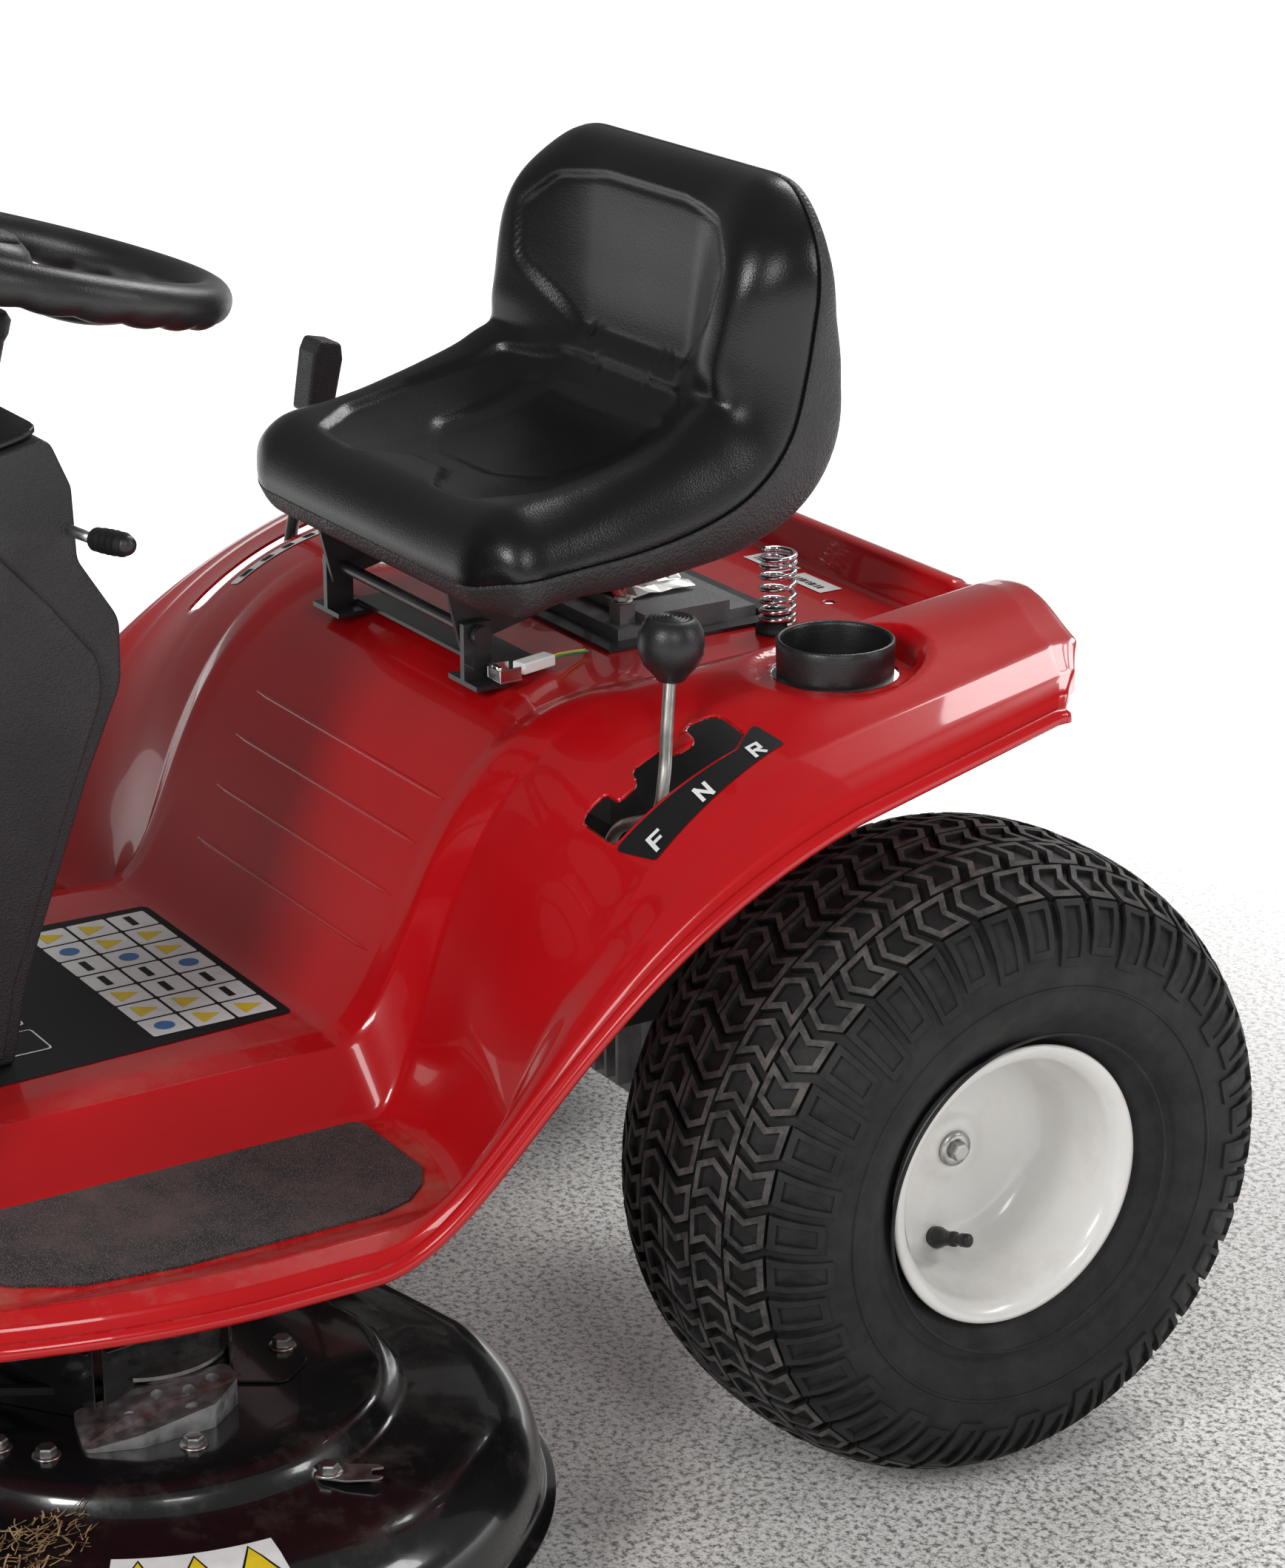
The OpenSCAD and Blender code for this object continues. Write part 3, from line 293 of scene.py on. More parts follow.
class Look:
    """One procedural material, built node by node on a Principled shader."""

    def __init__(self, name, color, roughness, **values):
        self.material = bpy.data.materials.new(name)
        self.material.use_nodes = True
        self.tree = self.material.node_tree
        self.shader = self.tree.nodes["Principled BSDF"]
        self.place = self.add("ShaderNodeTexCoord").outputs["Object"]
        self.shader.inputs["Base Color"].default_value = (*color, 1)
        self.shader.inputs["Roughness"].default_value = roughness
        for key, value in values.items():
            self.shader.inputs[key.replace("_", " ").title().replace("Ior", "IOR")].default_value = value

    def add(self, kind, **values):
        node = self.tree.nodes.new(kind)
        for key, value in values.items():
            setattr(node, key, value)
        return node

    def wire(self, output, node, socket):
        self.tree.links.new(output, node.inputs[socket])

    def noise(self, scale, detail=4, roughness=0.55):
        node = self.add("ShaderNodeTexNoise")
        node.inputs["Scale"].default_value = scale
        node.inputs["Detail"].default_value = detail
        node.inputs["Roughness"].default_value = roughness
        self.wire(self.place, node, "Vector")
        return node.outputs["Fac"]

    def cells(self, scale, feature="F1"):
        node = self.add("ShaderNodeTexVoronoi", feature=feature)
        node.inputs["Scale"].default_value = scale
        self.wire(self.place, node, "Vector")
        return node.outputs["Distance"]

    def ramp(self, value, *stops):
        """Maps a value through stops of (position, grey or colour)."""
        node = self.add("ShaderNodeValToRGB")
        self.wire(value, node, "Fac")
        ramp = node.color_ramp
        while len(ramp.elements) < len(stops):
            ramp.elements.new(0.5)
        for element, (at, color) in zip(ramp.elements, stops):
            element.position = at
            element.color = (*color, 1) if hasattr(color, "__len__") else (color, color, color, 1)
        return node.outputs["Color"]

    def math(self, how, a, b):
        node = self.add("ShaderNodeMath", operation=how)
        for k, value in enumerate((a, b)):
            if hasattr(value, "links"):
                self.tree.links.new(value, node.inputs[k])
            else:
                node.inputs[k].default_value = value
        return node.outputs["Value"]

    def mix(self, share, a, b):
        node = self.add("ShaderNodeMix", data_type="RGBA")
        self.wire(share, node, "Factor")
        for key, value in (("A", a), ("B", b)):
            socket = [s for s in node.inputs if s.name == key and s.type == "RGBA"][0]
            if hasattr(value, "links"):
                self.tree.links.new(value, socket)
            else:
                socket.default_value = (*value, 1)
        return [s for s in node.outputs if s.type == "RGBA"][0]

    def part(self, axis, source="position"):
        """One coordinate of the surface's place, or of its normal."""
        node = self.add("ShaderNodeSeparateXYZ")
        if source == "normal":
            output = self.add("ShaderNodeNewGeometry").outputs["Normal"]
        else:
            output = self.place
        self.wire(output, node, "Vector")
        return node.outputs[axis]

    def color(self, output):
        self.wire(output, self.shader, "Base Color")

    def rough(self, output):
        self.wire(output, self.shader, "Roughness")

    def bump(self, height, strength, distance):
        node = self.add("ShaderNodeBump")
        node.inputs["Strength"].default_value = strength
        node.inputs["Distance"].default_value = distance
        self.wire(height, node, "Height")
        self.wire(node.outputs["Normal"], self.shader, "Normal")


def make_red_paint():
    look = Look("red_paint", (0.5, 0.006, 0.008), 0.32, coat_weight=0.6, coat_roughness=0.035,
                specular_ior_level=0.22)
    grime = look.ramp(look.noise(14, 8, 0.7), (0.47, 0), (0.72, 1))
    low = look.ramp(look.part("Z"), (0.318, 1), (0.40, 0.12))
    flat = look.ramp(look.part("Z", "normal"), (0.88, 0), (0.985, 1))
    dust = look.math("MULTIPLY", look.math("MULTIPLY", grime, low), flat)
    dust = look.math("MULTIPLY", dust, 0.55)
    tone = look.ramp(look.noise(5, 3), (0.3, (0.42, 0.003, 0.005)), (0.7, (0.50, 0.005, 0.008)))
    look.color(look.mix(dust, tone, (0.30, 0.17, 0.12)))
    look.rough(look.ramp(look.math("ADD", dust, look.math("MULTIPLY", look.noise(40, 6), 0.12)),
                         (0.02, 0.22), (0.6, 0.6)))
    look.bump(look.noise(260, 2), 0.05, 0.0006)
    return look.material


def make_vinyl():
    look = Look("seat_vinyl", (0.004, 0.0042, 0.005), 0.3, specular_ior_level=0.42)
    look.rough(look.ramp(look.noise(9, 5), (0.3, 0.25), (0.75, 0.33)))
    grain = look.math("ADD", look.cells(700), look.math("MULTIPLY", look.noise(420, 3), 0.6))
    look.bump(grain, 0.16, 0.0006)
    return look.material


def make_plastic(name, color, roughness, pebble=620, depth=0.35):
    look = Look(name, color, roughness)
    warm = tuple(min(1, c * 1.35 + 0.004) for c in color)
    look.color(look.mix(look.ramp(look.noise(20, 6), (0.45, 0), (0.8, 1)), color, warm))
    look.rough(look.ramp(look.noise(30, 4), (0.3, roughness - 0.05), (0.7, roughness + 0.07)))
    look.bump(look.math("ADD", look.cells(pebble), look.noise(pebble * 0.4, 3)), depth, 0.0007)
    return look.material


def make_metal(name, color, roughness, grain=300, streak=0.1):
    look = Look(name, color, roughness, metallic=1.0)
    dark = tuple(c * 0.62 for c in color)
    look.color(look.mix(look.ramp(look.noise(60, 7, 0.7), (0.35, 0), (0.75, 1)), color, dark))
    look.rough(look.ramp(look.noise(90, 5), (0.3, roughness * 0.8), (0.8, roughness * 1.5 + 0.03)))
    look.bump(look.noise(grain, 3), streak, 0.0004)
    return look.material


def make_enamel(name, color, roughness, dirt=(0.25, 0.2, 0.16), share=0.35, coat=0.6):
    look = Look(name, color, roughness, coat_weight=coat, coat_roughness=0.06)
    specks = look.ramp(look.cells(130), (0.02, 1), (0.07, 0))
    cloud = look.ramp(look.noise(16, 8, 0.7), (0.5, 0), (0.85, 1))
    grime = look.math("MULTIPLY", look.math("MAXIMUM", look.math("MULTIPLY", specks, 0.7), cloud), share)
    look.color(look.mix(grime, color, dirt))
    look.rough(look.ramp(grime, (0.0, roughness), (0.5, 0.6)))
    look.bump(look.noise(220, 2), 0.06, 0.0006)
    return look.material


def make_rubber(name, color, worn, share):
    look = Look(name, color, 0.72, specular_ior_level=0.35)
    patch = look.math("MULTIPLY", look.ramp(look.noise(45, 8, 0.75), (0.42, 0), (0.62, 1)), share)
    look.color(look.mix(patch, color, worn))
    look.rough(look.ramp(look.noise(22, 5), (0.3, 0.55), (0.75, 0.82)))
    look.bump(look.noise(480, 5), 0.2, 0.0006)
    return look.material


def make_plain(name, color, roughness, **values):
    """Thin printed film or paint with a slight mottle."""
    look = Look(name, color, roughness, **values)
    faded = tuple(c * 0.85 for c in color)
    look.color(look.mix(look.ramp(look.noise(70, 6), (0.45, 0), (0.8, 1)), color, faded))
    look.bump(look.noise(500, 2), 0.04, 0.0003)
    return look.material


def make_grit():
    look = Look("grit_pad", (0.03, 0.028, 0.03), 0.9)
    grains = look.cells(760)
    worn = look.ramp(look.noise(18, 8, 0.75), (0.40, 0), (0.70, 0.8))
    speck = look.ramp(grains, (0.18, (0.17, 0.15, 0.145)), (0.42, (0.02, 0.018, 0.02)))
    look.color(look.mix(worn, speck, (0.105, 0.075, 0.07)))
    look.bump(grains, 0.9, 0.0012)
    return look.material


RED = make_red_paint()
VINYL = make_vinyl()
SHELL_PLASTIC = make_plastic("shell_plastic", (0.022, 0.022, 0.024), 0.5, 420, 0.9)
DASH_PLASTIC = make_plastic("dash_plastic", (0.016, 0.016, 0.018), 0.52, 700, 0.6)
TRIM_PLASTIC = make_plastic("trim_plastic", (0.009, 0.009, 0.010), 0.36, 900, 0.15)
RUBBER = make_rubber("tire_rubber", (0.0085, 0.0085, 0.009), (0.045, 0.042, 0.04), 0.25)
WORN_RUBBER = make_rubber("tread_tops", (0.03, 0.029, 0.028), (0.115, 0.105, 0.10), 0.9)
RIM_ENAMEL = make_enamel("rim_enamel", (0.76, 0.745, 0.72), 0.3, (0.36, 0.30, 0.25), 0.35)
BLACK_ENAMEL = make_enamel("black_enamel", (0.006, 0.006, 0.007), 0.2, (0.085, 0.07, 0.06), 0.55)
FRAME_BLACK = make_enamel("frame_black", (0.012, 0.012, 0.014), 0.38, (0.07, 0.06, 0.05), 0.5, 0.2)
CHROME = make_metal("chrome", (0.78, 0.78, 0.80), 0.12)
ZINC = make_metal("zinc", (0.62, 0.62, 0.60), 0.3)
DULL_STEEL = make_metal("dull_steel", (0.40, 0.385, 0.36), 0.42, 160, 0.3)
CAST_METAL = make_metal("cast_metal", (0.52, 0.52, 0.53), 0.5, 240, 0.5)
GRIT = make_grit()
FILM_BLACK = make_plain("film_black", (0.007, 0.007, 0.008), 0.6, specular_ior_level=0.25)
FILM_WHITE = make_plain("film_white", (0.80, 0.80, 0.79), 0.4)
FILM_YELLOW = make_plain("film_yellow", (0.80, 0.58, 0.02), 0.4)
FILM_BLUE = make_plain("film_blue", (0.04, 0.16, 0.42), 0.4)
GREY_PLASTIC = make_plastic("case_plastic", (0.15, 0.15, 0.155), 0.45, 300, 0.3)
TANK_PLASTIC = make_plastic("tank_plastic", (0.62, 0.60, 0.54), 0.4, 300, 0.2)
WHITE_PLASTIC = make_plastic("white_plastic", (0.80, 0.80, 0.78), 0.38, 500, 0.1)
RED_WIRE = make_plain("red_wire", (0.50, 0.03, 0.04), 0.4)
BLACK_WIRE = make_plain("black_wire", (0.012, 0.012, 0.012), 0.4)
GREEN_WIRE = make_plain("green_wire", (0.03, 0.30, 0.08), 0.4)
FOIL = make_metal("foil", (0.66, 0.65, 0.62), 0.38, 60, 0.9)
GLASS = make_plain("lens", (0.75, 0.78, 0.82), 0.12, coat_weight=1.0)
RUST = make_metal("rust_steel", (0.26, 0.22, 0.19), 0.6, 200, 0.5)


# ---------- floor ----------

def make_floor():
    """A speckled pale floor that fades to white in the distance."""
    look = Look("floor", (0.6, 0.6, 0.58), 0.75)
    flecks = look.ramp(look.noise(170, 4, 0.75), (0.40, (0.10, 0.085, 0.075)), (0.46, (0.50, 0.48, 0.45)),
                       (0.54, (0.86, 0.85, 0.83)))
    fine = look.ramp(look.noise(420, 3, 0.7), (0.35, 0.72), (0.6, 1.0))
    stone = look.add("ShaderNodeMix", data_type="RGBA", blend_type="MULTIPLY")
    stone.inputs[0].default_value = 1.0
    colors = [s for s in stone.inputs if s.type == "RGBA"]
    look.tree.links.new(flecks, colors[0])
    look.tree.links.new(fine, colors[1])
    mixed = [s for s in stone.outputs if s.type == "RGBA"][0]
    away = look.add("ShaderNodeVectorMath", operation="LENGTH")
    look.wire(look.place, away, 0)
    far = look.ramp(look.math("DIVIDE", away.outputs["Value"], 6.0), (0.16, 0), (0.40, 1))
    look.color(look.mix(far, mixed, (0.95, 0.95, 0.95)))
    look.wire(look.math("ADD", look.math("MULTIPLY", far, 0.85), 0.05), look.shader, "Emission Strength")
    look.shader.inputs["Emission Color"].default_value = (1, 1, 1, 1)
    look.bump(look.noise(170, 4, 0.75), 0.15, 0.001)
    rings = [0.0, 1.0, 3.0, 9.0, 40.0]
    verts = [(r * math.cos(a), r * math.sin(a), 0) for r in rings
             for a in np.linspace(0, 2 * math.pi, 64, endpoint=False)]
    floor = solid("floor", verts, grid_faces(len(rings), 64, wrap_cols=True))
    floor.data.materials.append(look.material)
    floor.data.update()


# ---------- red body ----------

# Rails of the pressed body, in millimetres as the part gives them: x, floor height, start of
# the rise, its two handles, its end, the rear end, and the height of the rear wall
BODY_RAILS = np.array([
    [0, 368, 170, 235, 240, 585, 400, 596, 735, 596, 32],
    [90, 368, 170, 235, 240, 585, 400, 596, 735, 596, 32],
    [180, 368, 170, 235, 240, 585, 400, 596, 735, 596, 32],
    [205, 363, 173, 236, 234, 587, 405, 603, 736, 622, 6],
    [235, 315, 183, 240, 226, 574, 412, 606, 733, 642, 0],
    [300, 315, 186, 245, 215, 555, 430, 602, 714, 652, 0],
    [390, 315, 160, 225, 222, 522, 455, 592, 686, 641, 0],
    [425, 325, 100, 190, 229, 510, 468, 585, 668, 631, 0],
    [443, 319, 76, 173, 230, 501, 470, 578, 654, 622, 0],
    [450, 303, 70, 170, 230, 486, 470, 562, 648, 606, 0]], float)
BODY_FRONT = -340.0
SPAN_STEPS = (9, 12, 8, 9, 15, 20, 10, 8, 5)
CUP = Vector((0.290, 0.560))
SHEET = 0.0025


def rail_at(u):
    """The rail at a place u between the numbered rails."""
    last = len(BODY_RAILS) - 1
    i = min(int(u), last - 1)
    t = u - i
    b, c = BODY_RAILS[i], BODY_RAILS[i + 1]
    row = b + (c - b) * t
    if i >= 2:
        a, d = BODY_RAILS[i - 1], BODY_RAILS[min(i + 2, last)]
        smooth = catmull(a, b, c, d, t)
        row[2:10] = smooth[2:10]
    return row


def along_rail(r):
    """Points (y, z) along one rail, from the front to the rear wall."""
    front = [(BODY_FRONT + (r[2] - BODY_FRONT) * f, r[1]) for f in np.linspace(0, 1, 42)[:-1]]
    t = np.linspace(0, 1, 64)
    k = (1 - t) ** 3, 3 * t * (1 - t) ** 2, 3 * t * t * (1 - t), t ** 3
    rise = list(zip(k[0] * r[2] + k[1] * r[3] + k[2] * r[4] + k[3] * r[6],
                    k[0] * r[1] + k[1] * r[1] + k[2] * r[5] + k[3] * r[7]))
    top = [(r[6] + (r[8] - r[6]) * f, r[7] + (r[9] - r[7]) * f) for f in np.linspace(0, 1, 60)[1:]]
    corner = min(1, max(0, (r[0] - 385) / 67))
    reach = 1 - 0.8 * corner
    drop = 34 - 31 * corner
    shape = [(0, 0), (7, r[10] * 0.7), (12, r[10]), (22, r[10]), (27, r[10] - drop * 0.15),
             (28, r[10] - drop)]
    wall = curve_through([(r[8] + away * reach, r[9] + up) for away, up in shape], 5)[1:]
    return front + rise + top + [tuple(p) for p in wall]


def narrowed(x, y):
    """The footrests narrow towards the front."""
    if x <= 235 or y >= 0:
        return x
    return 235 + (x - 235) * (1 - 0.5 * (-y / 350) ** 1.8)


def boss(x, y, z):
    """The flat seat pressed round the cup holder."""
    away = (Vector((x, y)) - CUP).length
    share = min(1, max(0, (0.070 - away) / 0.011))
    share = share * share * (3 - 2 * share)
    return z + (0.6135 - z) * share


def body_points():
    """Grid of points over the whole body, right edge to left edge."""
    places = [i + k / n for i, n in enumerate(SPAN_STEPS) for k in range(n)] + [len(SPAN_STEPS)]
    half = []
    for u in places:
        r = rail_at(u)
        half.append([(narrowed(r[0], y) * MM, y * MM, z * MM) for y, z in along_rail(r)])
    right = [[(-x, y, z) for x, y, z in col] for col in reversed(half[1:])]
    left = [[(x, y, boss(x, y, z)) for x, y, z in col] for col in half]
    return np.array(right + left)


# Holes in the body: over the battery, at the two levers, and round ones at these centres
BATTERY_OPENING = rounded_oblong(-0.109, 0.471, 0.109, 0.639, 0.012)
SHIFT_GATE = rounded_path([(0.349, 0.328, 0.006), (0.349, 0.432, 0.006), (0.338, 0.447, 0.006),
                           (0.300, 0.447, 0.013), (0.300, 0.417, 0.011), (0.322, 0.415, 0.006),
                           (0.322, 0.396, 0.006), (0.309, 0.394, 0.008), (0.309, 0.366, 0.008),
                           (0.324, 0.364, 0.006), (0.324, 0.347, 0.006), (0.309, 0.345, 0.008),
                           (0.309, 0.322, 0.010)])
LIFT_SLOT = rounded_path([(-0.316, 0.322, 0.010), (-0.316, 0.470, 0.010), (-0.344, 0.470, 0.010),
                          (-0.344, 0.322, 0.010)])
REAR_PIN = (0.09, 0.693)
PAD_SCREW = (0.247, 0.096)
COLUMN_FOOT = (0, -0.145)


def make_body():
    """The pressed red body as a thin sheet with its holes and rolled edges; gives its grid."""
    grid = body_points()
    cols, rows = grid.shape[:2]
    panel = solid("body_panel", grid.reshape(-1, 3), grid_faces(cols, rows))
    outward(panel)
    modifier(panel, "SOLIDIFY", thickness=SHEET, offset=-1, use_even_offset=True)
    settled(panel)
    holes = [(BATTERY_OPENING, 0.56, 0.64), (circle(CUP.x, CUP.y, 0.0485), 0.55, 0.7),
             (SHIFT_GATE, 0.45, 0.7), (LIFT_SLOT, 0.45, 0.7)]
    holes += [(circle(s * REAR_PIN[0], REAR_PIN[1], 0.0055, 24), 0.55, 0.65) for s in (1, -1)]
    holes.append((circle(*COLUMN_FOOT, 0.03), 0.34, 0.4))
    holes += [(circle(s * PAD_SCREW[0], PAD_SCREW[1], 0.003, 16), 0.3, 0.33) for s in (1, -1)]
    cut(panel, *[prism("tool", *hole) for hole in holes])
    panel.data.shade_smooth()
    modifier(panel, "WEIGHTED_NORMAL", keep_sharp=True)
    dress(panel, "chassis", RED, ["fender_body"])
    for k, (edge, side) in enumerate(((grid[-1], 1), (grid[0], -1))):
        hem = [(x - side * 0.0015, y, z + 0.001) for x, y, z in edge[::2]]
        dress(tube(f"hem_{k}", hem, 0.0062, 16), "chassis", RED)
    return grid


def surface_reader(grid):
    """A function that gives the point of the body, lifted off it, at a plan position."""
    cols, rows = grid.shape[:2]
    tree = BVHTree.FromPolygons([Vector(p) for p in grid.reshape(-1, 3)], grid_faces(cols, rows))

    def read(x, y, lift=0.0):
        spot, normal, _, _ = tree.ray_cast(Vector((x, y, 1.0)), Vector((0, 0, -1)))
        if spot is None:
            return None
        if normal.z < 0:
            normal = -normal
        return spot + normal * lift
    return read


# How far a printed film, the print on it and the print on that stand off the body
FILM, PRINT, OVERPRINT = 0.0006, 0.0010, 0.0013
# Steps in which a film is cut to follow the body: where it bends, and where it is flat
BENT, FLAT = 0.006, 0.05


def film(name, read, outline, material, lift=FILM, fine=BENT):
    """A thin printed film over a plan outline, draped on the body."""
    work = bmesh.new()
    work.faces.new([work.verts.new((x, y, 0)) for x, y in outline])
    for axis in (0, 1):
        low = min(p[axis] for p in outline)
        high = max(p[axis] for p in outline)
        at = low + fine
        while at < high:
            spot, normal = [0, 0, 0], [0, 0, 0]
            spot[axis] = at
            normal[axis] = 1
            bmesh.ops.bisect_plane(work, geom=work.verts[:] + work.edges[:] + work.faces[:],
                                   plane_co=spot, plane_no=normal)
            at += fine
    for v in work.verts:
        spot = read(v.co.x, v.co.y, lift)
        v.co = spot if spot is not None else v.co
    data = bpy.data.meshes.new(name)
    work.to_mesh(data)
    work.free()
    data.shade_smooth()
    obj = link(name, data)
    return dress(obj, "chassis", material)


def make_ribs(read):
    """Pressed ribs on the front wall."""
    for k, (y, half) in enumerate(((0.2201, 0.150), (0.2402, 0.152), (0.2607, 0.156), (0.2824, 0.160))):
        path = [read(0.025 + half * f, y, -0.0006) for f in np.linspace(-1, 1, 40)]
        taper = [0.0021 * min(1, (1 - abs(f)) * 6 + 0.15) for f in np.linspace(-1, 1, 40)]
        dress(tube(f"wall_rib_{k}", path, taper, 8), "chassis", RED)


def make_gate_decal(read):
    """Black plate beside the gear lever, with its letters."""
    outline = rounded_path([(0.352, 0.326, 0.004), (0.386, 0.340, 0.004), (0.368, 0.462, 0.004),
                            (0.333, 0.458, 0.004), (0.340, 0.447, 0.003), (0.351, 0.432, 0.003)])
    film("gate_plate", read, outline, FILM_BLACK)
    for name, text, x, y in (("letter_f", "F", 0.374, 0.349), ("letter_n", "N", 0.368, 0.392),
                             ("letter_r", "R", 0.361, 0.442)):
        strokes = {"F": [[(0, 0), (0, 1)], [(0, 1), (0.62, 1)], [(0, 0.52), (0.5, 0.52)]],
                   "N": [[(0, 0), (0, 1)], [(0, 1), (0.66, 0)], [(0.66, 0), (0.66, 1)]],
                   "R": [[(0, 0), (0, 1)], [(0, 1), (0.6, 1)], [(0.6, 1), (0.6, 0.5)],
                         [(0.6, 0.5), (0, 0.5)], [(0.25, 0.5), (0.64, 0)]]}[text]
        for k, (a, b) in enumerate(strokes):
            a, b = [Vector((x - 0.0125 * (p[1] - 0.5), y - 0.0125 * (0.33 - p[0]))) for p in (a, b)]
            across = (b - a).normalized().orthogonal() * 0.0014
            along = (b - a).normalized() * 0.0013
            quad = [a - along + across, a - along - across, b + along - across, b + along + across]
            film(f"{name}_{k}", read, [tuple(p) for p in quad], FILM_WHITE, 0.0011)


def make_tunnel_sticker(read):
    """Dark sheet on the tunnel, with a plain grid of pale panels."""
    film("tunnel_sheet", read, rounded_path([(-0.132, -0.085, 0.008), (0.150, -0.085, 0.008),
                                             (0.138, 0.172, 0.008), (-0.122, 0.172, 0.008)]),
         FILM_BLACK, 0.0006, 0.04)
    colors = [FILM_YELLOW, FILM_WHITE, FILM_YELLOW, FILM_BLUE, FILM_WHITE]
    for i in range(7):
        for j in range(3):
            x, y = -0.112 + i * 0.0345, 0.062 + j * 0.035
            film(f"panel_{i}_{j}", read, rounded_oblong(x, y, x + 0.032, y + 0.0325, 0.002, 2),
                 FILM_WHITE, PRINT, FLAT)
            mark = (i * 3 + j * 2) % 5
            cx, cy = x + 0.016, y + 0.016
            if mark in (0, 2):
                shape = [(cx - 0.011, cy - 0.008), (cx + 0.011, cy - 0.008), (cx, cy + 0.011)]
            elif mark == 3:
                shape = circle(cx, cy, 0.008, 20)
            else:
                shape = oblong(cx - 0.010, cy - 0.004, cx + 0.010, cy + 0.002)
            film(f"mark_{i}_{j}", read, shape, colors[mark] if mark in (0, 2, 3) else FILM_BLACK,
                 OVERPRINT, FLAT)
    for i in range(3):
        x = -0.04 + i * 0.052
        film(f"key_{i}", read, rounded_oblong(x, -0.045, x + 0.042, -0.010, 0.004, 2),
             FILM_WHITE, PRINT, FLAT)
        film(f"key_inner_{i}", read, rounded_oblong(x + 0.0015, -0.0435, x + 0.0405, -0.0115, 0.003, 2),
             FILM_BLACK, OVERPRINT, FLAT)


def make_small_labels(read):
    for k, (x, y) in enumerate(((-0.055, 0.705), (0.012, 0.700))):
        film(f"rear_label_{k}", read, oblong(x, y, x + 0.055, y + 0.022), FILM_WHITE, FILM, 0.03)
        for j in range(9):
            a = x + 0.008 + j * 0.0042
            film(f"rear_bar_{k}_{j}", read, oblong(a, y + 0.005, a + 0.0012 + 0.0008 * (j % 3), y + 0.012),
                 FILM_BLACK, PRINT, 0.03)
    film("lift_scale", read, rounded_oblong(-0.302, 0.345, -0.286, 0.452, 0.003, 2), FILM_WHITE, 0.0007)
    for j in range(5):
        y = 0.353 + j * 0.020
        film(f"lift_tick_{j}", read, oblong(-0.299, y, -0.289, y + 0.009), FILM_BLACK, 0.0011)


# ---------- seat ----------

SEAT = Matrix.Translation((0, 0.350, 0.632)) @ Matrix.Rotation(math.radians(13.7), 4, "X")
# Middle line of the seat's upper side, from its front edge to its top: y, z, height of the
# side bolsters, half width, depth of the shell behind it
SEAT_SPINE = [(-0.031, 0.101, 0.001, 0.219, 0.034), (0.000, 0.105, 0.003, 0.219, 0.028),
              (0.050, 0.098, 0.010, 0.217, 0.022), (0.100, 0.089, 0.017, 0.214, 0.025),
              (0.150, 0.085, 0.023, 0.212, 0.029), (0.195, 0.088, 0.027, 0.207, 0.038),
              (0.228, 0.103, 0.031, 0.200, 0.047), (0.249, 0.136, 0.032, 0.198, 0.036),
              (0.264, 0.177, 0.028, 0.202, 0.021), (0.277, 0.217, 0.020, 0.206, 0.013),
              (0.288, 0.249, 0.009, 0.208, 0.010), (0.293, 0.268, 0.003, 0.208, 0.009)]
CUSHION_EDGE = [(-0.140, 0.096), (-0.118, 0.066), (-0.070, 0.064), (-0.030, 0.096), (0.030, 0.096),
                (0.070, 0.064), (0.118, 0.066), (0.140, 0.096), (0.146, 0.150), (0.132, 0.232),
                (0.090, 0.254), (-0.090, 0.254), (-0.132, 0.232), (-0.146, 0.150)]
CUSHION_PANEL = [(-0.088, 0.152), (-0.040, 0.124), (0.040, 0.124), (0.088, 0.152), (0.092, 0.226),
                 (-0.092, 0.226)]
BACK_PANEL = [(-0.078, 0.302), (0.078, 0.302), (0.142, 0.344), (0.146, 0.372), (0.118, 0.394),
              (0.060, 0.402), (-0.060, 0.402), (-0.118, 0.394), (-0.146, 0.372), (-0.142, 0.344)]
CUSHION_DEPTH = 0.037
SEAT_HALF = 0.214


def outline_distance(x, y, outline):
    """Distance of points from an outline, negative inside it."""
    away = np.full(x.shape, 1e9)
    inside = np.zeros(x.shape, bool)
    for (ax, ay), (bx, by) in zip(outline, outline[1:] + outline[:1]):
        ex, ey = bx - ax, by - ay
        t = np.clip(((x - ax) * ex + (y - ay) * ey) / (ex * ex + ey * ey), 0, 1)
        away = np.minimum(away, np.hypot(x - ax - ex * t, y - ay - ey * t))
        if ey:
            crosses = ((ay > y) != (by > y)) & (x < ex * (y - ay) / ey + ax)
            inside ^= crosses
    return np.where(inside, -away, away)


def smoothstep(low, high, value):
    """Rises smoothly from 0 at low to 1 at high; falls if low is above high."""
    t = np.clip((value - low) / (high - low), 0, 1)
    return t * t * (3 - 2 * t)


def evenly(points, count):
    """Points spaced evenly along a line of points."""
    points = np.array(points)
    place = np.concatenate([[0], np.cumsum(np.linalg.norm(np.diff(points, axis=0), axis=1))])
    want = np.linspace(0, place[-1], count)
    return np.stack([np.interp(want, place, points[:, k]) for k in range(points.shape[1])], axis=1)


